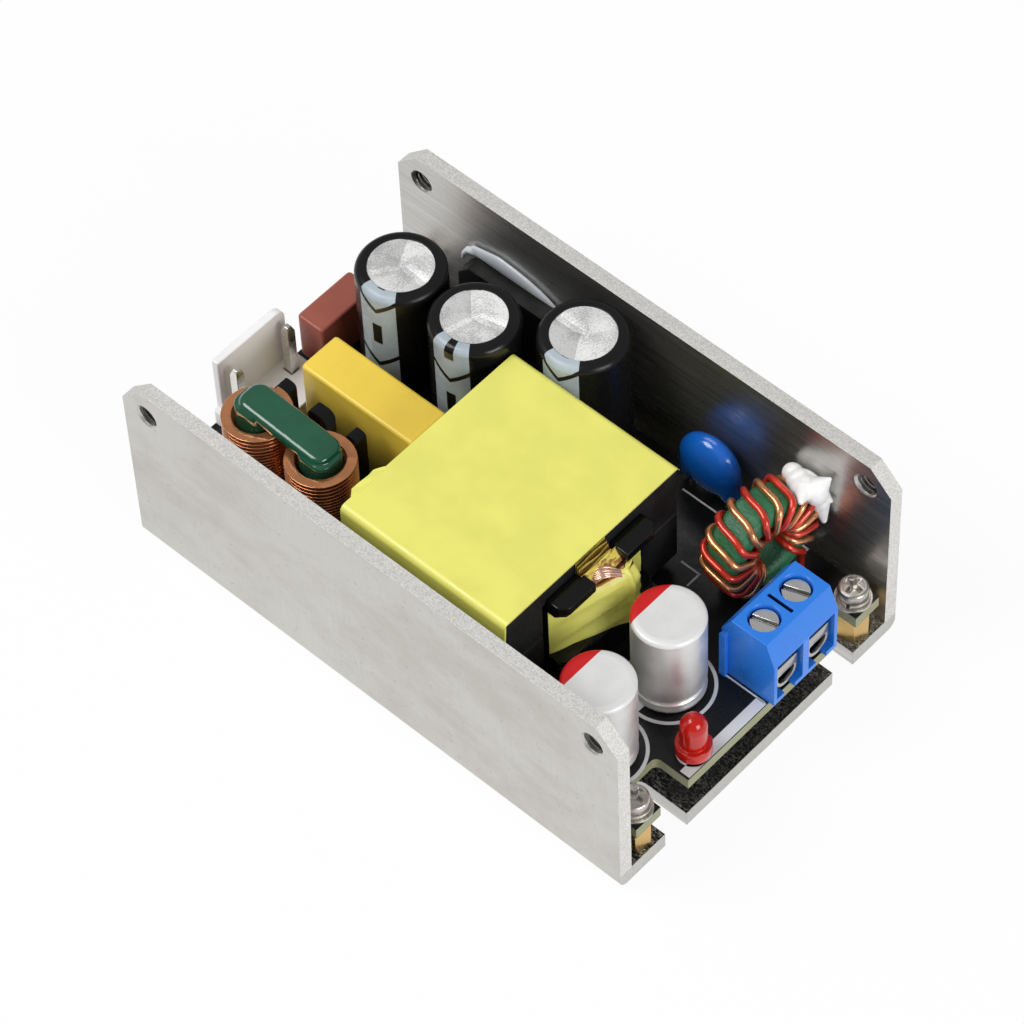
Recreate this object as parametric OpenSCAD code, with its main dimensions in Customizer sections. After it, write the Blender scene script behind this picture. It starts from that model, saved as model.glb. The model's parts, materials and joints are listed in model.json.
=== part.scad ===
// Open-frame power supply module in an aluminium channel. All sizes in millimetres.
// X runs along the channel (output end at +X), Y across it, Z up from the underside of the base.

/* [Channel] */
// Thickness of the two side walls
wall_t = 1.8; // [1.4:0.1:2.4]
// Thickness of the base
base_t = 2.2; // [1.6:0.1:3]
// Outer radius of the two long bends
bend_r = 1.2; // [0.6:0.1:1.8]
// Leg of the 45 degree clip on each upper wall corner
corner_clip = 2.9; // [1.5:0.1:4]
// Diameter of the four tapped wall holes
wall_hole_d = 2.5; // [2:0.1:3]
// Wall hole centre to wall end, and to wall top
wall_hole_inset = 3.5; // [3.2:0.1:6]
// Bevel round both mouths of a wall hole
wall_hole_bevel = 0.3; // [0.1:0.05:0.4]
// Width of the open base slots
slot_w = 3.4; // [2.6:0.1:4]
// Depth of the base slots from the channel end
slot_depth = 7.2; // [5:0.1:9]
// Tallest part to the top of the walls
rim_gap = 0.2; // [0.2:0.1:6]

/* [Board] */
// Thickness of the circuit board
board_t = 1.6; // [1:0.1:2.4]
// Board end to channel end
board_end_gap = 0.2; // [0.1:0.1:0.6]
// Board edge to wall
board_side_gap = 1; // [0.7:0.1:1.4]
// Depth of the corner notches
notch_depth = 4.5; // [3.5:0.1:5]
// Width of the corner notches
notch_w = 4.35; // [3.8:0.05:4.6]
// Radius of the inner notch corners
notch_r = 0.8; // [0.3:0.1:1.2]
// Width of the screw tab outside each notch
tab_w = 3.8; // [3.4:0.1:4.2]
// Bore clearance round every lead, on the radius
lead_clear = 0.15; // [0.05:0.05:0.25]

/* [Board fixing] */
// Height of the standoffs
standoff_h = 4; // [3.7:0.1:8]
// Hexagon of the standoffs across flats
standoff_af = 3.4; // [3:0.1:3.5]
// Screw centre to board end
screw_inset = 2; // [1.9:0.1:2.3]
// Diameter of the screw shank
screw_d = 1.6; // [1.4:0.1:1.8]
// Diameter of the screw head
head_d = 3.4; // [3:0.1:3.6]
// Height of the screw head
head_h = 1.5; // [1.2:0.1:1.8]
// Outer diameter of the flat washers
flat_washer_d = 4.2; // [3.8:0.1:4.4]
// Thickness of the flat washers
flat_washer_t = 0.35; // [0.2:0.05:0.6]
// Outer diameter of the split washers
split_washer_d = 3.7; // [3.2:0.1:3.8]
// Thickness of the split washers
split_washer_t = 0.6; // [0.4:0.05:0.8]
// Clearance of the shank in washers, board and standoff, on the radius
screw_clear = 0.1; // [0.05:0.05:0.2]

/* [Transformer] */
// Core length along the channel
core_x = 23.1; // [18:0.1:28]
// Core width across the channel
core_y = 26.6; // [24:0.1:32]
// Core height
core_z = 15.1; // [12:0.1:16]
// Thickness of the yokes
yoke_t = 2.55; // [2:0.05:3.5]
// Width of the centre leg
centre_leg_w = 6.4; // [4:0.1:7]
// Width of each outer leg
outer_leg_w = 5.6; // [3:0.1:6]
// Height of the core over the board
core_lift = 1.85; // [1:0.05:3]
// Thickness of the tape round the core
core_tape_t = 0.25; // [0.1:0.05:0.5]
// Thickness of the bobbin flanges
flange_t = 1; // [0.6:0.1:1.4]
// Flange overhang past the core at both ends
flange_out = 2.2; // [1.6:0.1:3]
// Gap in the upper flange at the output end
flange_gap_w = 4.7; // [3:0.1:6]
// Wall of the bobbin tube
bobbin_wall = 0.8; // [0.5:0.1:1]
// Clearance of the bobbin to the core
bobbin_clear = 0.25; // [0.1:0.05:0.35]
// Winding bulge past the core at the output end
bulge_out = 4.1; // [3.2:0.1:5]
// Winding bulge past the core at the mains end
bulge_in = 1.7; // [1.5:0.1:1.8]
// Depth of the bow of the winding at the output end
bow_out = 3.9; // [2:0.1:4]
// Depth of the bow of the winding at the mains end
bow_in = 0.4; // [0.2:0.05:0.45]
// Thickness of the winding tape
winding_tape_t = 0.3; // [0.1:0.05:0.4]
// Pitch of the bobbin pins
bobbin_pin_pitch = 3; // [2.5:0.1:3.2]
// Diameter of the bobbin pins
bobbin_pin_d = 0.8; // [0.6:0.05:1]

/* [Bulk capacitors] */
// Diameter over the sleeve
bulk_d = 10.2; // [9:0.1:11.5]
// Height over the board
bulk_h = 19.2; // [18:0.1:26]
// Thickness of the sleeve
sleeve_t = 0.2; // [0.1:0.05:0.3]
// Clearance of the can in the sleeve
sleeve_clear = 0.05; // [0.02:0.01:0.1]
// Opening in the sleeve over the can top
sleeve_open_d = 7.4; // [5:0.1:8]
// Distance between the two leads
bulk_lead_pitch = 5; // [3.5:0.1:5.5]

/* [Output capacitors] */
// Can diameter
output_d = 8.1; // [6.3:0.1:9]
// Height over the board
output_h = 12.8; // [9:0.1:16]
// Distance between the two capacitors
output_spacing = 10.9; // [10:0.1:11.5]
// Distance between the two leads
output_lead_pitch = 3.5; // [2.5:0.1:4]

/* [Capacitor details] */
// Radius of the rolled can edge
can_edge_r = 0.7; // [0.3:0.1:1]
// Radius of the crimp groove
crimp_r = 0.6; // [0.3:0.1:0.8]
// Height of the crimp groove over the board
crimp_z = 2; // [1.5:0.1:3]
// Depth of the rubber seal
seal_t = 1; // [0.6:0.1:1.2]
// Diameter of the capacitor leads
cap_lead_d = 0.6; // [0.5:0.05:0.8]

/* [Terminal block] */
// Distance between the two poles
pole_pitch = 5.08; // [5:0.02:6]
// Depth of the housing along the channel
terminal_x = 7.3; // [7:0.1:8.5]
// Height of the housing
terminal_h = 10; // [9.8:0.1:12]
// Front overhang past the board end
terminal_overhang = 0.7; // [0:0.1:1]
// Width of each wire entry
entry_w = 4.1; // [4:0.05:4.4]
// Thickness of the two end walls
terminal_wall = 0.52; // [0.4:0.02:1]
// Pocket floor over the board
pocket_floor = 0.7; // [0.5:0.05:0.75]
// Diameter of the screw recess
recess_d = 3.6; // [3.5:0.05:4]
// Diameter of the clamp screw head
clamp_head_d = 3.1; // [2.8:0.05:3.2]
// Depth of the screw head below the housing top
clamp_head_sink = 0.6; // [0.4:0.05:0.8]
// Diameter of the clamp screw shank
clamp_shank_d = 2.5; // [2:0.05:2.6]
// Outer width of the rising clamp
cage_w = 3.6; // [3.3:0.05:3.7]
// Length of the rising clamp along the channel
cage_x = 3.6; // [3.2:0.05:3.7]
// Sheet thickness of the rising clamp
cage_t = 0.4; // [0.3:0.05:0.45]
// Thickness of the threaded clamp top
cage_top_t = 0.8; // [0.6:0.05:0.9]
// Rise of the clamp from open to shut
clamp_travel = 1.75; // [1:0.05:1.8]
// Thickness of the contact bar
bar_t = 0.8; // [0.5:0.05:0.9]

/* [Inlet header] */
// Floor depth along the channel
header_x = 7; // [6:0.1:9]
// Floor width
header_y = 11.8; // [11:0.1:12.4]
// Floor height
header_floor_h = 2.3; // [1.5:0.1:3.5]
// Back wall height over the board
header_wall_h = 10.4; // [8:0.1:14]
// Back wall thickness
header_wall_t = 1; // [0.6:0.1:1.4]
// Back wall narrower than the floor, each side
header_wall_inset = 0.7; // [0:0.1:1.5]
// Distance between the two pins
inlet_pitch = 7.92; // [7:0.02:8]
// Side of the square pins
inlet_pin_w = 1.14; // [1:0.02:1.3]
// Pin height over the board
inlet_pin_h = 9.7; // [8:0.1:13]

/* [Fuse and film capacitor] */
// Fuse thickness along the channel
fuse_x = 3.8; // [3:0.1:4.2]
// Fuse length across the channel
fuse_y = 8.4; // [7:0.1:9.5]
// Fuse height
fuse_h = 6.8; // [5:0.1:9]
// Gap under the fuse
fuse_lift = 1; // [0.5:0.1:2]
// Film capacitor length
film_x = 16.4; // [12:0.1:19]
// Film capacitor thickness
film_y = 5.6; // [4:0.1:6]
// Film capacitor height
film_h = 12; // [9:0.1:16]
// Rounding of the standing edges
box_edge_r = 0.5; // [0.2:0.1:0.8]

/* [Common-mode choke] */
// Core length
choke_x = 12.7; // [12:0.1:14]
// Core thickness
choke_y = 4.1; // [3.5:0.1:4.3]
// Core height
choke_z = 13.7; // [12:0.1:17]
// Thickness of the core bars
choke_bar = 2.8; // [2.4:0.1:2.9]
// Coil diameter
coil_d = 7.9; // [7:0.1:8]
// Thickness of one flat turn
coil_turn_t = 0.3; // [0.2:0.05:0.35]
// Pitch of the turns
coil_pitch = 0.42; // [0.38:0.01:0.6]
// Groove depth between turns
coil_groove = 0.6; // [0.3:0.05:0.8]
// Base plate thickness
choke_base_t = 1.5; // [1:0.1:2.5]
// Height of the base posts over the board
choke_post_h = 9.2; // [7:0.1:12]

/* [Toroid, disc and lamp] */
// Outer diameter of the toroid core
toroid_d = 12.2; // [11:0.1:13]
// Bore of the toroid core
toroid_bore = 7; // [6:0.1:7.6]
// Width of the toroid core
toroid_w = 4.4; // [3.6:0.1:4.8]
// Rounding of the core edges
toroid_edge_r = 0.9; // [0.8:0.05:1]
// Wire diameter
toroid_wire_d = 0.66; // [0.5:0.02:0.7]
// Turns of each wire
toroid_turns = 8; // [5:1:9]
// Turn of the toroid about the vertical, degrees
toroid_yaw = -6.4; // [-10:0.2:0]
// Disc capacitor diameter
disc_d = 8; // [6.5:0.1:9]
// Disc capacitor thickness
disc_t = 3.2; // [2.4:0.1:3.8]
// Height of the disc over the board
disc_lift = 1.4; // [1:0.1:6]
// Distance between the disc leads
disc_lead_pitch = 5.2; // [4:0.1:5.6]
// Gap between disc and wall
disc_wall_gap = 0.8; // [0.4:0.1:2]
// Lamp lens diameter
lamp_d = 3; // [2.6:0.1:3.2]
// Lamp flange diameter
lamp_flange_d = 4; // [3.6:0.1:4.2]
// Lamp height
lamp_h = 5; // [4:0.1:7]
// Gap under the lamp
lamp_lift = 1; // [0.5:0.1:2]

/* [Bridge rectifier] */
// Body length
bridge_x = 14.5; // [12:0.1:16]
// Body thickness
bridge_y = 2.35; // [2:0.05:2.8]
// Body height
bridge_h = 9.6; // [8:0.1:12]
// Gap under the body
bridge_lift = 0.4; // [0.2:0.1:1]
// Clip on the marked upper corner
bridge_clip = 1.6; // [1:0.1:2.5]
// Thickness of the compound between body and wall
compound_t = 0.25; // [0.1:0.05:0.4]

/* [Packages under the board] */
// Switching transistor length
transistor_x = 6.5; // [4:0.1:7]
// Switching transistor width
transistor_y = 5.6; // [4:0.1:6.5]
// Switching transistor height
transistor_h = 2.3; // [1:0.1:2.4]
// Output rectifier length
rectifier_x = 6.2; // [4:0.1:7]
// Output rectifier width
rectifier_y = 4.6; // [3:0.1:6.5]
// Output rectifier height
rectifier_h = 1.6; // [1:0.1:2.4]
// Control chip length
chip_x = 4.9; // [4.6:0.1:6]
// Control chip width
chip_y = 3.9; // [3:0.1:6]
// Control chip height
chip_h = 1.5; // [1:0.1:2.4]
// Optocoupler length
opto_x = 4.6; // [4:0.1:6]
// Optocoupler width
opto_y = 6.3; // [5:0.1:6.8]
// Optocoupler height
opto_h = 2.6; // [1.8:0.1:2.8]
// Thickness of the flat legs
package_leg_t = 0.25; // [0.15:0.05:0.4]
// Reach of the flat legs
package_leg_out = 1; // [0.6:0.1:1.3]

/* [Spacing] */
// Near wall to transformer
near_gap = 2.4; // [2.2:0.1:5]
// Transformer to bulk row
row_gap = 0.35; // [0.3:0.05:1.5]
// Bulk row to far wall
far_gap = 0.9; // [0.6:0.1:2]
// Header to film capacitor
header_gap = 1.7; // [1.6:0.1:4]
// Film capacitor to transformer flange
film_gap = 0.5; // [0.5:0.1:4]
// Transformer bulge to output capacitors
output_gap = 1.05; // [1:0.05:4]
// Output capacitors to channel end
end_margin = 5.55; // [5.5:0.05:9]
// Gap between the first two bulk capacitors
bulk_gap = 0.45; // [0.3:0.05:0.6]

/* [Hidden] */
$fn = 64;

// Cutting overlap
cut = 1;
// Solder fillet under the board: height, and reach past the lead
solder_h = 0.9;
solder_rim = 0.6;
solder_tip = 0.1;
// Lead tail below the board
lead_tail = 1.2;
// Small gap left between pieces that stand side by side
fit_gap = 0.1;

// Heights
board_bottom = base_t + standoff_h;
board_top = board_bottom + board_t;
wall_top = board_top + bulk_h + rim_gap;

// Stations along the channel, measured from its mains end
header_end = header_x;
film_start = header_end + header_gap;
film_end = film_start + film_x;
fuse_to_end = 0.9;
fuse_start = board_end_gap + fuse_to_end;
fuse_end = fuse_start + fuse_x;
fuse_to_bulk = 1.75;
bulk_1_at = fuse_end + fuse_to_bulk + bulk_d / 2;
bulk_2_at = bulk_1_at + bulk_d + bulk_gap;
bulk_3_at = bulk_2_at + bulk_d + fit_gap;
bulk_to_core = 0.3;
core_start = max(film_end + film_gap + flange_out, bulk_2_at + bulk_d / 2 + bulk_to_core);
core_end = core_start + core_x;
output_at = core_end + bulge_out + winding_tape_t + output_gap + output_d / 2;
channel_l = output_at + output_d / 2 + end_margin;

// Widths across the channel
inner_w = near_gap + core_y + 2 * core_tape_t + row_gap + bulk_d + far_gap;
channel_w = inner_w + 2 * wall_t;
near_y = -inner_w / 2;
far_y = inner_w / 2;

// Board outline
board_l = channel_l - 2 * board_end_gap;
board_w = inner_w - 2 * board_side_gap;
tab_y = board_w / 2 - tab_w / 2;
notch_y = board_w / 2 - tab_w - notch_w / 2;
screw_x = board_l / 2 - screw_inset;
shank_bore = screw_d + 2 * screw_clear;
standoff_spigot_d = 2.8;
spigot_clear = 0.1;
spigot_sink = 0.3;

// Transformer place
trafo = [core_start + core_x / 2 - channel_l / 2, near_y + near_gap + core_tape_t + core_y / 2];
core_x0 = trafo.x - core_x / 2;
core_x1 = trafo.x + core_x / 2;
core_z0 = board_top + core_lift;
core_z1 = core_z0 + core_z;
core_mid_z = (core_z0 + core_z1) / 2;
window_z0 = core_z0 + yoke_t;
window_z1 = core_z1 - yoke_t;
window_half = core_y / 2 - outer_leg_w;
flange_half = window_half - bobbin_clear;
tape_inset = 0.3;
tape_half = flange_half - tape_inset;
tube_y = centre_leg_w + 2 * bobbin_clear + 2 * bobbin_wall;
tube_x = core_x + 2 * bobbin_clear + 2 * bobbin_wall;
bobbin_pins = 5;

// Bulk and output capacitor places
film_shift = 2.8;
film_at = [(film_start + film_end) / 2 - channel_l / 2, trafo.y + film_shift];
bulk_to_film = 2.4;
bulk_row_y = film_at.y + film_y / 2 + bulk_to_film + bulk_d / 2;
bulk_places = [
  [bulk_1_at - channel_l / 2, bulk_row_y],
  [bulk_2_at - channel_l / 2, bulk_row_y],
  [bulk_3_at - channel_l / 2, far_y - far_gap - bulk_d / 2]
];
bulk_can_d = bulk_d - 2 * sleeve_t - 2 * sleeve_clear;
output_shift = 0.95;
output_places = [
  [output_at - channel_l / 2, trafo.y + output_shift],
  [output_at - channel_l / 2, trafo.y + output_shift - output_spacing]
];
seal_edge = 0.55;
vent_depth = 0.3;
vent_w = 0.35;

// Terminal block place
terminal_front = board_l / 2 + terminal_overhang;
terminal_back = terminal_front - terminal_x;
terminal_y = 2 * terminal_wall + entry_w + pole_pitch;
terminal_mid = 6.6;
pole_y = [terminal_mid - pole_pitch / 2, terminal_mid + pole_pitch / 2];
terminal_top = board_top + terminal_h;
entry_h = 6.6;
entry_top = board_top + entry_h;
head_top = terminal_top - clamp_head_sink;
clamp_head_h = 0.9;
head_bottom = head_top - clamp_head_h;
ceiling_z = head_bottom - fit_gap;
cage_lift = 0.3;
cage_bottom = board_top + pocket_floor + cage_lift;
cage_top = ceiling_z - fit_gap - clamp_travel;
bar_top = cage_top - cage_top_t - fit_gap;
leg_t = 0.6;
leg_w = 1;
terminal_back_wall = 1.25;
pocket_back = terminal_back + terminal_back_wall;
leg_x0 = pocket_back + fit_gap;
cage_clear = 0.15;
cage_x0 = leg_x0 + leg_t + cage_clear;
cage_x1 = cage_x0 + cage_x;
lintel_x = cage_x1 + 2 * fit_gap;
clamp_set_back = 0.25;
clamp_x = (cage_x0 + cage_x1) / 2 - clamp_set_back;
shank_run = 0.06;

// Header, fuse, choke, bridge places
header_shift = 0.2;
header_at = [-channel_l / 2, trafo.y + header_shift];
inlet_inset = 2.55;
inlet_at = [for (side = [-1, 1]) [header_at.x + inlet_inset, header_at.y + side * inlet_pitch / 2]];
fuse_to_header = 0.85;
fuse_at = [
  (fuse_start + fuse_end) / 2 - channel_l / 2,
  header_at.y + header_y / 2 + fuse_to_header + fuse_y / 2
];
fuse_lead_pitch = 5.08;
choke_base_rim = 1.4;
choke_base_x = choke_x + 2 * choke_base_rim;
choke_to_header = 0.6;
choke_to_film = 4.3;
choke_at = [
  header_end + choke_to_header + choke_base_x / 2 - channel_l / 2,
  film_at.y - film_y / 2 - choke_to_film - coil_d / 2
];
choke_z0 = board_top + choke_base_t;
coil_z0 = choke_z0 + choke_bar;
coil_z1 = choke_z0 + choke_z - choke_bar;
coil_shift = 0.3;
coil_off = choke_x / 2 - choke_bar / 2 - coil_shift;
coil_x = [choke_at.x - coil_off, choke_at.x + coil_off];
coil_clear = 0.15;
coil_bore = 2 * norm([choke_bar / 2 + coil_shift, choke_y / 2]) + 2 * coil_clear;
bridge_shift = 1;
bridge_at = [(bulk_1_at + bulk_2_at) / 2 + bridge_shift - channel_l / 2, far_y - compound_t - bridge_y / 2];
bridge_z0 = board_top + bridge_lift;
bridge_lead_pitch = 3.8;

// Toroid, disc and lamp places
wire_r = toroid_wire_d / 2;
wire_gap = 0.04;
wire_lift = wire_r + wire_gap;
toroid_env = toroid_d / 2 + wire_lift + wire_r;
toroid_half = toroid_w / 2 + wire_lift + wire_r;
toroid_reach = toroid_half * cos(toroid_yaw) + toroid_env * sin(abs(toroid_yaw));
toroid_to_terminal = 1.1;
toroid_to_wall = 0.6;
toroid_lift = 0.5;
disc_to_toroid = 3.45;
toroid_at = [
  terminal_back - toroid_to_terminal - toroid_reach,
  far_y - toroid_to_wall - toroid_env,
  board_top + toroid_lift + toroid_env
];
disc_at = [
  toroid_at.x - toroid_reach - disc_to_toroid - disc_d / 2,
  far_y - disc_wall_gap - disc_t / 2,
  board_top + disc_lift + disc_d / 2
];
lamp_inset = 1.9;
lamp_y = -8.3;
lamp_at = [board_l / 2 - lamp_inset, lamp_y];
lamp_lead_d = 0.6;
lamp_lead_pitch = 2.54;

// Toroid winding: place of a wire centre after a number of turns
winding_start = -52;
winding_span = 316;
turn_step = winding_span / (toroid_turns + 0.5);
wire_mid_r = (toroid_d + toroid_bore) / 4;
wire_half_r = (toroid_d - toroid_bore) / 4 + wire_lift;
wire_half_w = toroid_w / 2 + wire_lift;
function soft_cos(a) = sign(cos(a)) * sqrt(abs(cos(a)));
function soft_sin(a) = sign(sin(a)) * sqrt(abs(sin(a)));
function spread(t, offset) = winding_start + turn_step * (t + offset);
function ring_point(a, r, w) = [
  toroid_at.x + w * cos(toroid_yaw) - r * cos(a) * sin(toroid_yaw),
  toroid_at.y + w * sin(toroid_yaw) + r * cos(a) * cos(toroid_yaw),
  toroid_at.z + r * sin(a)
];
function wire_point(t, offset) = ring_point(
  spread(t, offset),
  wire_mid_r + wire_half_r * soft_cos(360 * t),
  wire_half_w * soft_sin(360 * t)
);
// Turns at which each wire starts and ends: on opposite faces of the ring, so that the pads stay apart
end_turn = 0.12;
red_offset = 0;
red_ends = [end_turn, toroid_turns - end_turn];
copper_offset = 0.5;
copper_ends = [-end_turn, toroid_turns + end_turn];
wire_steps_per_turn = 18;
wire_drop = 0.9;
function drop_from(p) = [
  [p.x, p.y, board_bottom - lead_tail],
  [p.x, p.y, board_top],
  [p.x, p.y, p.z - wire_drop]
];
function flip(list) = [for (i = [len(list) - 1 : -1 : 0]) list[i]];
function wire_path(offset, ends) =
  let (steps = round((ends[1] - ends[0]) * wire_steps_per_turn))
  concat(
    drop_from(wire_point(ends[0], offset)),
    [for (i = [0 : steps]) wire_point(ends[0] + (ends[1] - ends[0]) * i / steps, offset)],
    flip(drop_from(wire_point(ends[1], offset)))
  );
function lead_under(p) = [p.x, p.y];
red_lead_at = [for (t = red_ends) lead_under(wire_point(t, red_offset))];
copper_lead_at = [for (t = copper_ends) lead_under(wire_point(t, copper_offset))];

// Lead lists: place and diameter
thin_d = 0.7;
film_lead_inset = 1.7;
flat_d = 0.9;
bulk_lead_at = [for (p = bulk_places, side = [-1, 1]) [p.x + side * bulk_lead_pitch / 2, p.y]];
output_lead_at = [for (p = output_places, side = [-1, 1]) [p.x + side * output_lead_pitch / 2, p.y]];
film_lead_at = [for (side = [-1, 1]) [film_at.x + side * (film_x / 2 - film_lead_inset), film_at.y]];
fuse_lead_at = [for (side = [-1, 1]) [fuse_at.x, fuse_at.y + side * fuse_lead_pitch / 2]];
disc_lead_at = [for (side = [-1, 1]) [disc_at.x + side * disc_lead_pitch / 2, disc_at.y]];
lamp_lead_at = [for (side = [-1, 1]) [lamp_at.x, lamp_at.y + side * lamp_lead_pitch / 2]];
bridge_lead_at = [for (i = [0 : 3]) [bridge_at.x + (i - 1.5) * bridge_lead_pitch, bridge_at.y]];
rail_x = [core_x0 - flange_out / 2 - bobbin_clear / 2, core_x1 + flange_out / 2 + bobbin_clear / 2];
trafo_pin_at = [for (x = rail_x, i = [0 : bobbin_pins - 1])
  [x, trafo.y + (i - (bobbin_pins - 1) / 2) * bobbin_pin_pitch]];
contact_at = [for (y = pole_y) [leg_x0 + leg_t / 2, y]];
coil_lead_y = choke_at.y - coil_d / 2 + flat_d / 2;
coil_lead_half = 1.2;
coil_lead_at = [for (x = coil_x, side = [-1, 1]) [x + side * coil_lead_half, coil_lead_y]];
round_leads = concat(
  [for (p = bulk_lead_at) [p, cap_lead_d]],
  [for (p = output_lead_at) [p, cap_lead_d]],
  [for (p = film_lead_at) [p, thin_d]],
  [for (p = fuse_lead_at) [p, thin_d]],
  [for (p = disc_lead_at) [p, thin_d]],
  [for (p = lamp_lead_at) [p, lamp_lead_d]],
  [for (p = bridge_lead_at) [p, flat_d]],
  [for (p = trafo_pin_at) [p, bobbin_pin_d]],
  [for (p = contact_at) [p, norm([leg_w, leg_t])]],
  [for (p = inlet_at) [p, inlet_pin_w * sqrt(2)]],
  [for (p = coil_lead_at) [p, flat_d]],
  [for (p = concat(red_lead_at, copper_lead_at)) [p, toroid_wire_d]]
);

// Small helpers
module block(lo, hi) {
  translate(lo) cube(hi - lo);
}

module rod(p, z0, z1, d) {
  translate([p.x, p.y, z0]) cylinder(h = z1 - z0, d = d);
}

module round_square(w, d, r) {
  square([w - 2 * r, d], center = true);
  square([w, d - 2 * r], center = true);
  for (sx = [-1, 1], sy = [-1, 1]) {
    translate([sx * (w / 2 - r), sy * (d / 2 - r)]) circle(r);
  }
}

module solder(p, d) {
  translate([p.x, p.y, board_bottom - solder_h]) {
    cylinder(h = solder_h, d1 = d + 2 * solder_tip, d2 = d + 2 * solder_rim);
  }
}

module lead(p, d, top) {
  rod(p, board_bottom - lead_tail, top, d);
  solder(p, d);
}

// A section drawn in Y and Z, run along X
module along_x(x0, x1) {
  translate([x0, 0, 0]) rotate([90, 0, 90]) linear_extrude(x1 - x0) children();
}

// A section drawn in X and Z, run along Y
module along_y(y0, y1) {
  translate([0, y1, 0]) rotate([90, 0, 0]) linear_extrude(y1 - y0) children();
}

// Channel
module channel_section() {
  difference() {
    union() {
      translate([-channel_w / 2, bend_r]) square([channel_w, wall_top - bend_r]);
      translate([-channel_w / 2 + bend_r, 0]) square([channel_w - 2 * bend_r, bend_r + cut]);
      for (side = [-1, 1]) {
        translate([side * (channel_w / 2 - bend_r), bend_r]) circle(bend_r);
      }
    }
    translate([near_y, base_t]) square([inner_w, wall_top]);
  }
}

module wall_hole_cut(x, z) {
  translate([x, 0, z]) rotate([90, 0, 0]) {
    cylinder(h = channel_w + 2 * cut, d = wall_hole_d, center = true);
    for (side = [-1, 1]) {
      mirror([0, 0, side < 0 ? 1 : 0]) {
        translate([0, 0, channel_w / 2 - wall_hole_bevel]) {
          cylinder(h = wall_hole_bevel, d1 = wall_hole_d, d2 = wall_hole_d + 2 * wall_hole_bevel);
        }
        translate([0, 0, inner_w / 2]) {
          cylinder(h = wall_hole_bevel, d1 = wall_hole_d + 2 * wall_hole_bevel, d2 = wall_hole_d);
        }
      }
    }
  }
}

module channel() {
  color("gainsboro") difference() {
    along_x(-channel_l / 2, channel_l / 2) channel_section();
    for (sx = [-1, 1]) {
      translate([sx * channel_l / 2, 0, wall_top]) rotate([0, 45, 0]) {
        cube([corner_clip * sqrt(2), channel_w + 2 * cut, corner_clip * sqrt(2)], center = true);
      }
      wall_hole_cut(sx * (channel_l / 2 - wall_hole_inset), wall_top - wall_hole_inset);
      for (sy = [-1, 1]) {
        translate([sx * channel_l / 2, sy * notch_y, -cut]) linear_extrude(base_t + 2 * cut) {
          square([2 * (slot_depth - slot_w / 2), slot_w], center = true);
          translate([-sx * (slot_depth - slot_w / 2), 0]) circle(d = slot_w);
        }
        rod([sx * screw_x, sy * tab_y], -cut, base_t + cut, standoff_spigot_d + 2 * spigot_clear);
      }
    }
  }
}

// Board and its fixing
module at_screws() {
  for (sx = [-1, 1], sy = [-1, 1]) translate([sx * screw_x, sy * tab_y, 0]) children();
}

module standoffs() {
  color("goldenrod") at_screws() difference() {
    union() {
      translate([0, 0, base_t]) rotate([0, 0, 15]) {
        linear_extrude(standoff_h) circle(d = standoff_af / cos(30), $fn = 6);
      }
      translate([0, 0, spigot_sink]) cylinder(h = base_t - spigot_sink, d = standoff_spigot_d);
    }
    translate([0, 0, -cut]) cylinder(h = board_bottom + 2 * cut, d = shank_bore);
  }
}

module circuit_board() {
  color("darkslategray") translate([0, 0, board_bottom]) linear_extrude(board_t) difference() {
    square([board_l, board_w], center = true);
    for (sx = [-1, 1], sy = [-1, 1]) {
      translate([sx * board_l / 2, sy * notch_y]) round_square(2 * notch_depth, notch_w, notch_r);
      translate([sx * screw_x, sy * tab_y]) circle(d = shank_bore);
    }
    for (one = round_leads) translate(one[0]) circle(d = one[1] + 2 * lead_clear);
  }
}

flat_top = board_top + flat_washer_t;
split_top = flat_top + split_washer_t;
split_gap = 0.35;
split_turn = -70;

module ring(d, bore, t) {
  linear_extrude(t) difference() {
    circle(d = d);
    circle(d = bore);
  }
}

module flat_washers() {
  color("silver") at_screws() translate([0, 0, board_top]) ring(flat_washer_d, shank_bore, flat_washer_t);
}

module spring_washers() {
  color("silver") at_screws() translate([0, 0, flat_top]) difference() {
    ring(split_washer_d, shank_bore, split_washer_t);
    rotate([0, 0, split_turn]) translate([0, -split_gap / 2, -cut]) {
      cube([split_washer_d, split_gap, split_washer_t + 2 * cut]);
    }
  }
}

// Pan head with a cross recess
module board_screws() {
  dome_r = head_d * 0.62;
  recess_w = 0.5;
  recess_l = 1.9;
  recess_depth = 0.8;
  thread_end = base_t + 0.8;
  color("silver") at_screws() difference() {
    union() {
      translate([0, 0, thread_end]) cylinder(h = split_top - thread_end, d = screw_d);
      intersection() {
        translate([0, 0, split_top]) cylinder(h = head_h, d = head_d);
        translate([0, 0, split_top + head_h - dome_r]) sphere(dome_r);
      }
    }
    for (turn = [20, 110]) {
      translate([0, 0, split_top + head_h]) rotate([0, 0, turn]) {
        cube([recess_l, recess_w, 2 * recess_depth], center = true);
      }
    }
  }
}

// Transformer: one half of the core, yoke down
module core_half() {
  half = core_z / 2;
  block([core_x0, trafo.y - core_y / 2, 0], [core_x1, trafo.y + core_y / 2, yoke_t]);
  for (side = [-1, 1]) {
    y = trafo.y + side * (core_y / 2 - outer_leg_w / 2);
    block([core_x0, y - outer_leg_w / 2, 0], [core_x1, y + outer_leg_w / 2, half]);
  }
  block([core_x0, trafo.y - centre_leg_w / 2, 0], [core_x1, trafo.y + centre_leg_w / 2, half]);
}

module core_lower() {
  color("dimgray") translate([0, 0, core_z0]) core_half();
}

module core_upper() {
  color("dimgray") translate([0, 0, core_z1]) mirror([0, 0, 1]) core_half();
}

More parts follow.
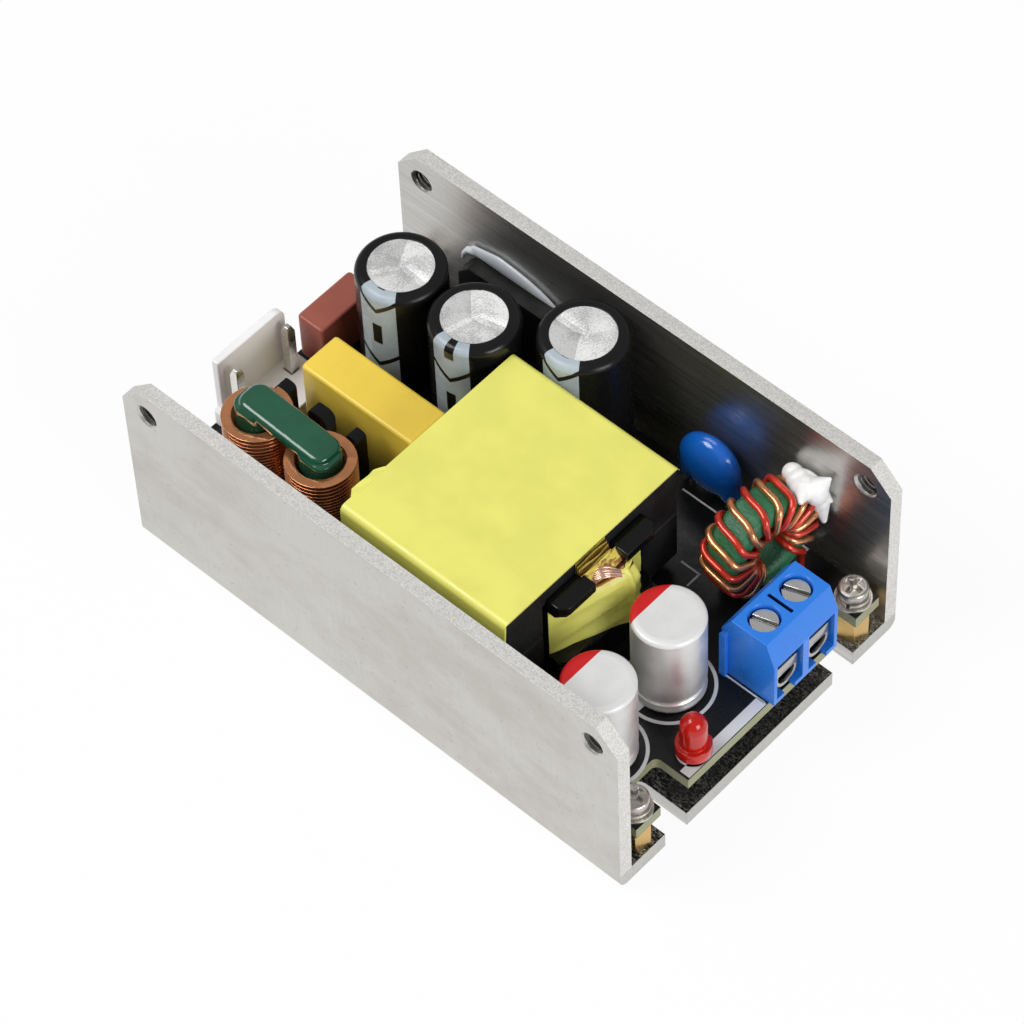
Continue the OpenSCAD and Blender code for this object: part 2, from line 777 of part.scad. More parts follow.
module core_tape() {
  color("khaki") along_x(core_x0, core_x1) translate([trafo.y, core_mid_z]) difference() {
    square([core_y + 2 * core_tape_t, core_z + 2 * core_tape_t], center = true);
    square([core_y, core_z], center = true);
  }
}

module flange_plate(z) {
  tab_clip = 0.9;
  translate([trafo.x, trafo.y, z]) linear_extrude(flange_t) difference() {
    square([core_x + 2 * flange_out, 2 * flange_half], center = true);
    square([core_x + 2 * bobbin_clear, centre_leg_w + 2 * bobbin_clear], center = true);
    for (sx = [-1, 1], sy = [-1, 1]) {
      translate([sx * (core_x / 2 + flange_out), sy * flange_half]) rotate(45) {
        square(tab_clip * sqrt(2), center = true);
      }
    }
  }
}

module transformer_bobbin() {
  rail_in = core_tape_t + bobbin_clear;
  color("black") {
    translate([trafo.x, trafo.y, window_z0]) linear_extrude(window_z1 - window_z0) difference() {
      square([tube_x, tube_y], center = true);
      square([core_x + 2 * bobbin_clear, centre_leg_w + 2 * bobbin_clear], center = true);
    }
    flange_plate(window_z0);
    difference() {
      flange_plate(window_z1 - flange_t);
      block(
        [core_x1 + bobbin_clear + bobbin_wall, trafo.y - flange_gap_w / 2, window_z1 - flange_t - cut],
        [core_x1 + flange_out + cut, trafo.y + flange_gap_w / 2, window_z1 + cut]
      );
    }
    block(
      [core_x1 + rail_in, trafo.y - flange_half, board_top],
      [core_x1 + flange_out, trafo.y + flange_half, window_z0]
    );
    block(
      [core_x0 - flange_out, trafo.y - flange_half, board_top],
      [core_x0 - rail_in, trafo.y + flange_half, window_z0]
    );
  }
}

// Radius of an arc of half width and depth
function bow_radius(half, depth) = (half * half + depth * depth) / (2 * depth);

// Plan of the winding: flat sides with a bowed end at each end of the core
module winding_plan(skin) {
  half = tape_half - winding_tape_t + skin;
  out_r = bow_radius(half, bow_out);
  in_r = bow_radius(half, bow_in);
  out_x = core_x1 + bulge_out + skin - out_r;
  in_x = core_x0 - bulge_in - skin + in_r;
  far = core_x * 2;
  intersection() {
    translate([trafo.x - far, trafo.y - half]) square([2 * far, 2 * half]);
    union() {
      translate([out_x, trafo.y]) circle(out_r);
      translate([out_x - 2 * far, trafo.y - half]) square([2 * far, 2 * half]);
    }
    union() {
      translate([in_x, trafo.y]) circle(in_r);
      translate([in_x, trafo.y - half]) square([2 * far, 2 * half]);
    }
  }
}

winding_z0 = window_z0 + flange_t;
winding_z1 = window_z1 - flange_t;

module transformer_winding() {
  color("peru") translate([0, 0, winding_z0]) linear_extrude(winding_z1 - winding_z0) difference() {
    winding_plan(0);
    translate(trafo) square([tube_x, tube_y], center = true);
  }
}

module winding_tape() {
  color("khaki") translate([0, 0, winding_z0]) linear_extrude(winding_z1 - winding_z0) difference() {
    winding_plan(winding_tape_t);
    winding_plan(0);
  }
}

module transformer_pins() {
  color("silver") for (p = trafo_pin_at) lead(p, bobbin_pin_d, board_top);
}

// Electrolytic cans: outline of a can of diameter d and height h, revolved
module can_outline(d, h, edge) {
  difference() {
    union() {
      square([d / 2, h - edge]);
      square([d / 2 - edge, h]);
      translate([d / 2 - edge, h - edge]) circle(edge);
    }
    translate([d / 2 + crimp_r * 0.3, crimp_z]) circle(crimp_r);
    translate([-d, -d]) square([d, 3 * d + h]);
  }
}

module can(p, d, h, edge) {
  translate([p.x, p.y, board_top]) difference() {
    rotate_extrude() can_outline(d, h, edge);
    translate([0, 0, -cut]) cylinder(h = seal_t + cut, d = d - 2 * seal_edge - 2 * crimp_r);
  }
}

module seal(p, d) {
  translate([p.x, p.y, board_top]) cylinder(h = seal_t, d = d - 2 * seal_edge - 2 * crimp_r);
}

module sleeve(p) {
  h = bulk_h;
  color([0.1, 0.1, 0.1]) translate([p.x, p.y, board_top]) rotate_extrude() difference() {
    can_outline(bulk_d, h, can_edge_r + sleeve_t);
    translate([-cut, -cut]) square([sleeve_open_d / 2 + cut, h + 2 * cut]);
    can_outline(bulk_can_d + 2 * sleeve_clear, h - sleeve_t, can_edge_r);
    square([bulk_d / 2 - sleeve_t, crimp_z - 2 * crimp_r]);
  }
}

module bulk_can(p) {
  reach = sleeve_open_d / 2 - 0.4;
  color("silver") difference() {
    can(p, bulk_can_d, bulk_h - sleeve_t, can_edge_r);
    for (turn = [90, 210, 330]) {
      translate([p.x, p.y, board_top + bulk_h - sleeve_t]) rotate([0, 0, turn]) rotate([45, 0, 0]) {
        translate([0, -vent_w / 2, -vent_w / 2]) cube([reach, vent_w, vent_w]);
      }
    }
  }
}

module bulk_sleeve_1() {
  sleeve(bulk_places[0]);
}

module bulk_sleeve_2() {
  sleeve(bulk_places[1]);
}

module bulk_sleeve_3() {
  sleeve(bulk_places[2]);
}

module bulk_can_1() {
  bulk_can(bulk_places[0]);
}

module bulk_can_2() {
  bulk_can(bulk_places[1]);
}

module bulk_can_3() {
  bulk_can(bulk_places[2]);
}

module bulk_seals() {
  color("dimgray") for (p = bulk_places) seal(p, bulk_can_d);
}

module bulk_leads() {
  color("silver") for (p = bulk_lead_at) lead(p, cap_lead_d, board_top);
}

module output_can_1() {
  color("silver") can(output_places[0], output_d, output_h, can_edge_r);
}

module output_can_2() {
  color("silver") can(output_places[1], output_d, output_h, can_edge_r);
}

module output_seals() {
  color("dimgray") for (p = output_places) seal(p, output_d);
}

module output_leads() {
  color("silver") for (p = output_lead_at) lead(p, cap_lead_d, board_top);
}

// Screw terminal: the screw draws the clamp up against the contact bar
module terminal_profile() {
  front_lean = 1.2;
  back_lean = 1.35;
  polygon([
    [terminal_back, board_top],
    [terminal_front, board_top],
    [terminal_front, entry_top + 0.2],
    [terminal_front - front_lean, terminal_top],
    [terminal_back + back_lean, terminal_top],
    [terminal_back, terminal_top - 2.3]
  ]);
}

module terminal_rib(y, grow) {
  rib_out = 0.6;
  rib_x = terminal_back + 0.6;
  translate([0, 0, board_top - grow]) linear_extrude(7.4 + 2 * grow) polygon([
    [rib_x - 0.3 - grow, y],
    [rib_x + 0.3 + grow, y],
    [rib_x + 0.45 + grow, y - rib_out - grow],
    [rib_x - 0.45 - grow, y - rib_out - grow]
  ]);
}

module terminal_housing() {
  y0 = terminal_mid - terminal_y / 2;
  y1 = terminal_mid + terminal_y / 2;
  notch = 1.6;
  gap_slot_w = 0.45;
  gap_slot_x = 3.4;
  color("royalblue") difference() {
    union() {
      along_y(y0, y1) terminal_profile();
      terminal_rib(y0, 0);
    }
    terminal_rib(y1, 0.05);
    for (y = pole_y) {
      block(
        [pocket_back, y - entry_w / 2, board_top + pocket_floor],
        [lintel_x, y + entry_w / 2, ceiling_z]
      );
      block(
        [lintel_x - cut, y - entry_w / 2, board_top + pocket_floor],
        [terminal_front + cut, y + entry_w / 2, entry_top]
      );
      block(
        [cage_x1 - 0.6, y - notch / 2, board_top - cut],
        [terminal_front + cut, y + notch / 2, board_top + pocket_floor + cut]
      );
      block(
        [pocket_back, y - leg_w / 2 - fit_gap, board_top - cut],
        [leg_x0 + leg_t + fit_gap, y + leg_w / 2 + fit_gap, board_top + pocket_floor + cut]
      );
      rod([clamp_x, y], ceiling_z - cut, terminal_top + cut, recess_d);
    }
    block(
      [clamp_x - gap_slot_x / 2, terminal_mid - gap_slot_w / 2, terminal_top - 1.4],
      [clamp_x + gap_slot_x / 2, terminal_mid + gap_slot_w / 2, terminal_top + cut]
    );
  }
}

module clamp_screw(y, turn) {
  slot_width = 0.55;
  slot_cut = 0.5;
  color("lightgray") difference() {
    union() {
      rod([clamp_x, y], head_bottom, head_top, clamp_head_d);
      rod([clamp_x, y], bar_top + fit_gap / 2, head_bottom, clamp_shank_d);
    }
    translate([clamp_x, y, head_top]) rotate([0, 0, turn]) {
      cube([clamp_head_d + cut, slot_width, 2 * slot_cut], center = true);
    }
  }
}

module terminal_screw_1() {
  clamp_screw(pole_y[0], 17);
}

module terminal_screw_2() {
  clamp_screw(pole_y[1], 20);
}

module clamp_cage(y) {
  out_r = cage_w / 2;
  in_r = out_r - cage_t;
  mid_z = cage_bottom + out_r;
  color("silver") difference() {
    along_x(cage_x0, cage_x1) translate([y, 0]) difference() {
      union() {
        translate([-out_r, mid_z]) square([cage_w, cage_top - mid_z]);
        translate([0, mid_z]) circle(out_r);
      }
      translate([-in_r, mid_z]) square([2 * in_r, cage_top - cage_top_t - mid_z]);
      translate([0, mid_z]) circle(in_r);
    }
    rod([clamp_x, y], cage_top - cage_top_t - fit_gap / 2, cage_top + cut, clamp_shank_d + 2 * shank_run);
  }
}

module terminal_cage_1() {
  clamp_cage(pole_y[0]);
}

module terminal_cage_2() {
  clamp_cage(pole_y[1]);
}

module terminal_contacts() {
  bar_half = cage_w / 2 - cage_t - 0.15;
  color("silver") for (p = contact_at) {
    block([leg_x0, p.y - bar_half, bar_top - bar_t], [cage_x1, p.y + bar_half, bar_top]);
    block(
      [leg_x0, p.y - leg_w / 2, board_bottom - lead_tail],
      [leg_x0 + leg_t, p.y + leg_w / 2, bar_top - bar_t]
    );
    solder(p, norm([leg_w, leg_t]));
  }
}

// Indicator lamp
module led_lens() {
  flange_h = 1;
  z0 = board_top + lamp_lift;
  color("red") translate([lamp_at.x, lamp_at.y, z0]) {
    difference() {
      cylinder(h = flange_h, d = lamp_flange_d);
      translate([-cut, lamp_flange_d / 2 - 0.25, -cut]) {
        translate([-lamp_flange_d, 0, 0]) cube([3 * lamp_flange_d, cut, flange_h + 2 * cut]);
      }
    }
    cylinder(h = lamp_h - lamp_d / 2, d = lamp_d);
    translate([0, 0, lamp_h - lamp_d / 2]) sphere(d = lamp_d);
  }
}

module led_leads() {
  color("silver") for (p = lamp_lead_at) lead(p, lamp_lead_d, board_top + lamp_lift);
}

// Disc capacitor: a dipped disc with two legs of coating down its leads
disc_neck_z = board_top + 0.4;
disc_edge_r = disc_t * 0.42;
disc_neck_top = disc_at.z - disc_d * 0.15;
disc_neck_d = [1.2, 2.4];

module disc_capacitor() {
  color("dodgerblue") {
    translate(disc_at) rotate([90, 0, 0]) rotate_extrude() intersection() {
      round_square(disc_d, disc_t, disc_edge_r);
      translate([0, -disc_t]) square([disc_d, 2 * disc_t]);
    }
    for (p = disc_lead_at) {
      translate([p.x, p.y, disc_neck_z]) {
        cylinder(h = disc_neck_top - disc_neck_z, d1 = disc_neck_d[0], d2 = disc_neck_d[1]);
      }
    }
  }
}

module disc_leads() {
  color("silver") for (p = disc_lead_at) lead(p, thin_d, disc_neck_z);
}

// Toroid choke
module toroid_core() {
  color("seagreen") translate(toroid_at) rotate([0, 0, toroid_yaw]) rotate([0, 90, 0]) rotate_extrude() {
    translate([wire_mid_r, 0]) round_square((toroid_d - toroid_bore) / 2, toroid_w, toroid_edge_r);
  }
}

// Round wire along a path, with flat caps
wire_sides = 6;
function unit(v) = v / norm(v);
function path_dir(path, i) = unit(path[min(i + 1, len(path) - 1)] - path[max(i - 1, 0)]);
function square_to(u, dir) = unit(u - (u * dir) * dir);
// Side directions carried along the path without twist
function wire_sides_along(path) = [
  for (
    i = 0, u = square_to([0.9, 0.4, 0.1], path_dir(path, 0));
    i < len(path);
    i = i + 1, u = i < len(path) ? square_to(u, path_dir(path, i)) : u
  ) u
];
module wire(path) {
  last = len(path) - 1;
  sides = wire_sides_along(path);
  points = [for (i = [0 : last], k = [0 : wire_sides - 1])
    let (u = sides[i], v = cross(path_dir(path, i), u), a = 360 * k / wire_sides)
    path[i] + wire_r * (cos(a) * u + sin(a) * v)];
  walls = [for (i = [0 : last - 1], k = [0 : wire_sides - 1])
    let (n = (k + 1) % wire_sides)
    [i * wire_sides + k, (i + 1) * wire_sides + k, (i + 1) * wire_sides + n, i * wire_sides + n]];
  first_cap = [for (k = [0 : wire_sides - 1]) k];
  last_cap = [for (k = [wire_sides - 1 : -1 : 0]) last * wire_sides + k];
  polyhedron(points, concat([first_cap], walls, [last_cap]));
}

module toroid_wire_red() {
  color("firebrick") {
    wire(wire_path(red_offset, red_ends));
    for (p = red_lead_at) solder(p, toroid_wire_d);
  }
}

module toroid_wire_copper() {
  color("peru") {
    wire(wire_path(copper_offset, copper_ends));
    for (p = copper_lead_at) solder(p, toroid_wire_d);
  }
}

// Silicone bead between the toroid and the far wall
module glue_bead() {
  reach = toroid_at.x + 0.4;
  color("white") difference() {
    hull() {
      for (spot = [[-2.4, 0.6, 0.9], [2.2, 1.4, 1.1], [0.6, 3.6, 1.2], [-1, 4.6, 1], [2.6, -1.6, 0.6]]) {
        translate([reach + spot.x, far_y - spot.z, toroid_at.z + 1.6 + spot.y]) sphere(spot.z, $fn = 32);
      }
    }
    translate(toroid_at) rotate([0, 0, toroid_yaw]) rotate([0, 90, 0]) {
      cylinder(h = 4 * toroid_half, r = toroid_env + fit_gap, center = true);
    }
    translate([reach - toroid_d, far_y - 0.02, board_top]) cube([2 * toroid_d, wall_t, wall_top]);
  }
}

// Film capacitor and fuse
module film_capacitor() {
  color("gold") translate([film_at.x, film_at.y, board_top]) linear_extrude(film_h) {
    round_square(film_x, film_y, box_edge_r);
  }
}

module film_leads() {
  color("silver") for (p = film_lead_at) lead(p, thin_d, board_top);
}

module fuse_body() {
  color("brown") translate([fuse_at.x, fuse_at.y, board_top + fuse_lift]) linear_extrude(fuse_h) {
    round_square(fuse_x, fuse_y, box_edge_r);
  }
}

module fuse_leads() {
  color("silver") for (p = fuse_lead_at) lead(p, thin_d, board_top + fuse_lift);
}

// Inlet header
module inlet_header() {
  wall_y = header_y - 2 * header_wall_inset;
  wall_r = 1.4;
  pin_hole = inlet_pin_w + 2 * fit_gap;
  color("white") difference() {
    union() {
      translate([header_at.x + header_x / 2, header_at.y, board_top]) linear_extrude(header_floor_h) {
        round_square(header_x, header_y, box_edge_r);
      }
      along_x(header_at.x, header_at.x + header_wall_t) translate([header_at.y, board_top]) {
        translate([-wall_y / 2, 0]) square([wall_y, header_wall_h - wall_r]);
        translate([0, header_wall_h / 2]) round_square(wall_y, header_wall_h, wall_r);
      }
    }
    for (p = inlet_at) {
      block(
        [p.x - pin_hole / 2, p.y - pin_hole / 2, board_top - cut],
        [p.x + pin_hole / 2, p.y + pin_hole / 2, board_top + header_floor_h + cut]
      );
    }
  }
}

module inlet_pins() {
  tip = 0.8;
  half = inlet_pin_w / 2;
  color("silver") for (p = inlet_at) {
    block(
      [p.x - half, p.y - half, board_bottom - lead_tail],
      [p.x + half, p.y + half, board_top + inlet_pin_h - tip]
    );
    translate([p.x, p.y, board_top + inlet_pin_h - tip]) rotate([0, 0, 45]) {
      cylinder(h = tip, r1 = half * sqrt(2), r2 = half * 0.7, $fn = 4);
    }
    solder(p, inlet_pin_w * sqrt(2));
  }
}

// Common-mode choke
module choke_core() {
  window_x = choke_x - 2 * choke_bar;
  window_z = choke_z - 2 * choke_bar;
  edge = 0.8;
  color("darkgreen") intersection() {
    along_y(choke_at.y - choke_y / 2, choke_at.y + choke_y / 2) {
      translate([choke_at.x, choke_z0 + choke_z / 2]) difference() {
        round_square(choke_x, choke_z, edge);
        square([window_x, window_z], center = true);
      }
    }
    translate([choke_at.x, choke_at.y, choke_z0 - cut]) linear_extrude(choke_z + 2 * cut) {
      round_square(choke_x, choke_y, edge);
    }
  }
}

// Flat turns stacked on edge, with two ends led down to the board
module choke_coil(x, leads) {
  turns = floor((coil_z1 - coil_z0 - coil_turn_t) / coil_pitch);
  color("peru") {
    difference() {
      translate([x, choke_at.y, coil_z0]) rotate_extrude() difference() {
        translate([coil_bore / 2, 0]) square([(coil_d - coil_bore) / 2, turns * coil_pitch + coil_turn_t]);
        for (i = [0 : turns - 1]) {
          translate([coil_d / 2 - coil_groove, i * coil_pitch + coil_turn_t]) {
            square([coil_groove + cut, coil_pitch - coil_turn_t]);
          }
        }
      }
    }
    for (p = leads) lead(p, flat_d, coil_z0 + coil_turn_t / 2);
  }
}

module choke_coil_1() {
  choke_coil(coil_x[0], [coil_lead_at[0], coil_lead_at[1]]);
}

module choke_coil_2() {
  choke_coil(coil_x[1], [coil_lead_at[2], coil_lead_at[3]]);
}

module choke_base() {
  plate_y0 = choke_at.y - choke_y / 2 - 0.6;
  post_y0 = choke_at.y + coil_d / 2 + 0.5;
  post_t = 2.2;
  post_w = 2.4;
  color("black") {
    block(
      [choke_at.x - choke_base_x / 2, plate_y0, board_top],
      [choke_at.x + choke_base_x / 2, post_y0 + post_t, choke_z0]
    );
    for (dx = [-6, 0, 6]) {
      along_y(post_y0, post_y0 + post_t) translate([choke_at.x + dx, choke_z0 - fit_gap]) {
        translate([-post_w / 2, 0]) square([post_w, choke_post_h - choke_base_t + fit_gap - post_w / 2]);
        translate([0, choke_post_h - choke_base_t + fit_gap - post_w / 2]) circle(d = post_w);
      }
    }
  }
}

// Bridge rectifier against the far wall
module bridge_rectifier() {
  x0 = bridge_at.x - bridge_x / 2;
  x1 = bridge_at.x + bridge_x / 2;
  top = bridge_z0 + bridge_h;
  color("black") along_y(bridge_at.y - bridge_y / 2, bridge_at.y + bridge_y / 2) polygon([
    [x0, bridge_z0],
    [x1, bridge_z0],
    [x1, top],
    [x0 + bridge_clip, top],
    [x0, top - bridge_clip]
  ]);
}

module bridge_leads() {
  color("silver") for (p = bridge_lead_at) lead(p, flat_d, bridge_z0);
}

module thermal_compound() {
  top = bridge_z0 + bridge_h;
  bead_r = 0.55;
  color("white") {
    block(
      [bridge_at.x - bridge_x / 2 + bridge_clip, far_y - compound_t, bridge_z0 + 1],
      [bridge_at.x + bridge_x / 2 - 0.5, far_y, top]
    );
    intersection() {
      translate([bridge_at.x, far_y - compound_t, top]) rotate([0, 90, 0]) {
        cylinder(h = bridge_x * 0.7, r = bead_r, center = true);
      }
      block(
        [bridge_at.x - bridge_x, far_y - wall_t, top],
        [bridge_at.x + bridge_x, far_y, top + 2 * bead_r]
      );
    }
  }
}

// Flat packages under the board, all below the transformer and clear of its pins
module package(at, size, legs, leg_pitch, leg_width) {
  bend_z = size.z * 0.45;
  bend_out = package_leg_out / 2;
  translate([at.x, at.y, board_bottom]) mirror([0, 0, 1]) {
    translate([-size.x / 2, -size.y / 2, 0]) cube(size);
    for (i = [0 : legs - 1], side = [0, 1]) {
      translate([(i - (legs - 1) / 2) * leg_pitch - leg_width / 2, 0, 0]) mirror([0, side, 0]) {
        translate([0, size.y / 2, 0]) cube([leg_width, package_leg_out, package_leg_t]);
        translate([0, size.y / 2, 0]) cube([leg_width, bend_out, bend_z]);
      }
    }
  }
}

package_dx = 5.5;
package_dy = 5.3;
power_leg_w = 0.9;
chip_leg_w = 0.42;
chip_leg_pitch = 1.27;
opto_leg_w = 0.8;
opto_leg_pitch = 2.54;

module switch_transistor() {
  spread = transistor_x - 2 * power_leg_w;
  color("black") {
    package(
      trafo + [-package_dx, package_dy], [transistor_x, transistor_y, transistor_h], 2, spread, power_leg_w
    );
  }
}

module output_rectifier() {
  spread = rectifier_x - 2 * power_leg_w;
  color("black") {
    package(
      trafo + [package_dx, package_dy], [rectifier_x, rectifier_y, rectifier_h], 2, spread, power_leg_w
    );
  }
}

module control_chip() {
  at = trafo + [-package_dx, -package_dy];
  color("black") package(at, [chip_x, chip_y, chip_h], 4, chip_leg_pitch, chip_leg_w);
}

module optocoupler() {
  at = trafo + [package_dx, -package_dy];
  color("black") package(at, [opto_x, opto_y, opto_h], 2, opto_leg_pitch, opto_leg_w);
}

channel();
standoffs();
board_screws();
spring_washers();
flat_washers();
circuit_board();
core_upper();
core_lower();
transformer_bobbin();
transformer_winding();
winding_tape();
core_tape();
transformer_pins();
bulk_sleeve_1();
bulk_sleeve_2();
bulk_sleeve_3();
bulk_can_1();
bulk_can_2();
bulk_can_3();
bulk_seals();
bulk_leads();
output_can_1();
output_can_2();
output_seals();
output_leads();
terminal_housing();
terminal_screw_1();
terminal_screw_2();
terminal_cage_1();
terminal_cage_2();
terminal_contacts();
led_lens();
led_leads();
disc_capacitor();
disc_leads();
toroid_core();
toroid_wire_red();
toroid_wire_copper();
glue_bead();
film_capacitor();
film_leads();
fuse_body();
fuse_leads();
inlet_header();
inlet_pins();
choke_core();
choke_coil_1();
choke_coil_2();
choke_base();
bridge_rectifier();
bridge_leads();
thermal_compound();
switch_transistor();
output_rectifier();
control_chip();
optocoupler();
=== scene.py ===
import json
from math import atan2, copysign, cos, degrees, pi, radians, sin, sqrt

import bmesh
import bpy
from mathutils import Matrix, Vector, noise


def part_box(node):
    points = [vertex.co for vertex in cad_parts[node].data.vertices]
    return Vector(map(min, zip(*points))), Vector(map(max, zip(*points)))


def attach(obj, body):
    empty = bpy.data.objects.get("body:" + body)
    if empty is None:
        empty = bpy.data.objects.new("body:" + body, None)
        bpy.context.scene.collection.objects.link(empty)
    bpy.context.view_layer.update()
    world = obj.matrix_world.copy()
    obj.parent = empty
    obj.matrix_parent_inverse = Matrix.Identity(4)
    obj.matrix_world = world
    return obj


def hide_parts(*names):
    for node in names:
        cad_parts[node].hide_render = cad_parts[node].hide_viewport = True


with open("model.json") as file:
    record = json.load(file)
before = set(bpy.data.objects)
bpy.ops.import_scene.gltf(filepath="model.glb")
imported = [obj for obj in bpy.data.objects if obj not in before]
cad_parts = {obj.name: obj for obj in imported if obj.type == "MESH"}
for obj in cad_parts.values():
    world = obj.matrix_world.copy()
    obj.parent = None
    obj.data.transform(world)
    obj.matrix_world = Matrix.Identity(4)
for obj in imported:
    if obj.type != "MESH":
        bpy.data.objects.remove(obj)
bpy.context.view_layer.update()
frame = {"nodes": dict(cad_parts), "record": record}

MM = 0.001
SCENE = bpy.context.scene
UP = Vector((0, 0, 1))


def mm(x, y, z):
    """A point or size in millimetres, as metres."""
    return Vector((x, y, z)) * MM


def box_mm(node):
    """Lowest and highest corner of a solid, in millimetres."""
    low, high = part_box(node)
    return low / MM, high / MM


def centre_mm(node):
    """Middle of a solid's box, in millimetres."""
    low, high = box_mm(node)
    return (low + high) / 2


# Shared effects, as node groups

def group_tree(name, inputs, outputs):
    """A new shader node group with value or vector inputs and outputs."""
    tree = bpy.data.node_groups.new(name, "ShaderNodeTree")
    for label, kind, start in inputs:
        socket = tree.interface.new_socket(name=label, in_out="INPUT", socket_type=kind)
        if start is not None:
            socket.default_value = start
    for label, kind in outputs:
        tree.interface.new_socket(name=label, in_out="OUTPUT", socket_type=kind)
    return tree


class Wiring:
    """Short ways to add and join the nodes of one tree."""

    def __init__(self, tree):
        self.tree = tree

    def add(self, kind, **settings):
        node = self.tree.nodes.new("ShaderNode" + kind)
        for key, value in settings.items():
            setattr(node, key, value)
        return node

    def feed(self, socket, value):
        """Join an output to a socket, or set the socket's own value."""
        if isinstance(value, bpy.types.NodeSocket):
            self.tree.links.new(value, socket)
        else:
            socket.default_value = value

    def math(self, operation, first, second=0.0):
        node = self.add("Math", operation=operation)
        self.feed(node.inputs[0], first)
        self.feed(node.inputs[1], second)
        return node.outputs[0]

    def plus(self, first, second):
        return self.math("ADD", first, second)

    def minus(self, first, second):
        return self.math("SUBTRACT", first, second)

    def times(self, first, second):
        return self.math("MULTIPLY", first, second)

    def larger(self, first, second):
        return self.math("MAXIMUM", first, second)

    def size(self, value):
        """A value without its sign."""
        return self.math("ABSOLUTE", value)

    def rest(self, share):
        """What a share leaves of one."""
        return self.math("SUBTRACT", 1.0, share)

    def band(self, value, low, high, to_low=0.0, to_high=1.0):
        """Smooth ramp of a value between two limits."""
        node = self.add("MapRange", interpolation_type="SMOOTHSTEP")
        for index, entry in enumerate((value, low, high, to_low, to_high)):
            self.feed(node.inputs[index], entry)
        return node.outputs[0]

    def noise(self, place, scale, detail=3.0, roughness=0.55):
        node = self.add("TexNoise")
        self.feed(node.inputs["Vector"], place)
        self.feed(node.inputs["Scale"], scale)
        self.feed(node.inputs["Detail"], detail)
        self.feed(node.inputs["Roughness"], roughness)
        return node.outputs[0]

    def stretch(self, place, factors):
        node = self.add("VectorMath", operation="MULTIPLY")
        self.feed(node.inputs[0], place)
        self.feed(node.inputs[1], factors)
        return node.outputs[0]

    def split(self, place):
        node = self.add("SeparateXYZ")
        self.feed(node.inputs[0], place)
        return node.outputs

    def blend(self, share, first, second):
        node = self.add("Mix", data_type="RGBA")
        self.feed(node.inputs["Factor"], share)
        self.feed(node.inputs[6], first)
        self.feed(node.inputs[7], second)
        return node.outputs[2]

    def asked(self):
        """A group's own inputs, by name."""
        return self.tree.nodes.new("NodeGroupInput").outputs

    def give(self, **values):
        """Join values to a group's outputs."""
        end = self.tree.nodes.new("NodeGroupOutput")
        for label, value in values.items():
            self.feed(end.inputs[label], value)


def make_grain_group():
    """Fine grain over soft blotches: a mask round one half, and a height."""
    tree = group_tree(
        "Grain and blotches",
        [("Place", "NodeSocketVector", None), ("Grain per mm", "NodeSocketFloat", 4.0),
         ("Blotch per mm", "NodeSocketFloat", 0.25), ("Blotch share", "NodeSocketFloat", 0.5)],
        [("Mask", "NodeSocketFloat"), ("Height", "NodeSocketFloat")],
    )
    wire = Wiring(tree)
    ask = wire.asked()
    grain = wire.noise(ask["Place"], ask["Grain per mm"], 4.0, 0.6)
    blotch = wire.noise(ask["Place"], ask["Blotch per mm"], 2.0, 0.5)
    spread = wire.band(blotch, 0.3, 0.7)
    kept = wire.rest(ask["Blotch share"])
    mask = wire.plus(wire.times(grain, kept), wire.times(spread, ask["Blotch share"]))
    wire.give(Mask=mask, Height=grain)
    return tree


def make_brushing_group():
    """Fine brush lines along one direction, with a few deeper scratches."""
    tree = group_tree(
        "Brushing",
        [("Place", "NodeSocketVector", None), ("Lines", "NodeSocketVector", None),
         ("Scratches", "NodeSocketVector", None)],
        [("Mask", "NodeSocketFloat"), ("Scratch", "NodeSocketFloat")],
    )
    wire = Wiring(tree)
    ask = wire.asked()
    lines = wire.noise(wire.stretch(ask["Place"], ask["Lines"]), 1.0, 5.0, 0.7)
    scratch = wire.noise(wire.stretch(ask["Place"], ask["Scratches"]), 1.0, 2.0, 0.5)
    wire.give(Mask=lines, Scratch=wire.band(scratch, 0.62, 0.74))
    return tree


SLEEVE_R = 5.0
CHEVRON_DROP = 1.9
CHEVRON_HALF = 0.35
BAR_DROP = 3.8
BAR_HALF = 1.575
BAR_SHARE = 0.25


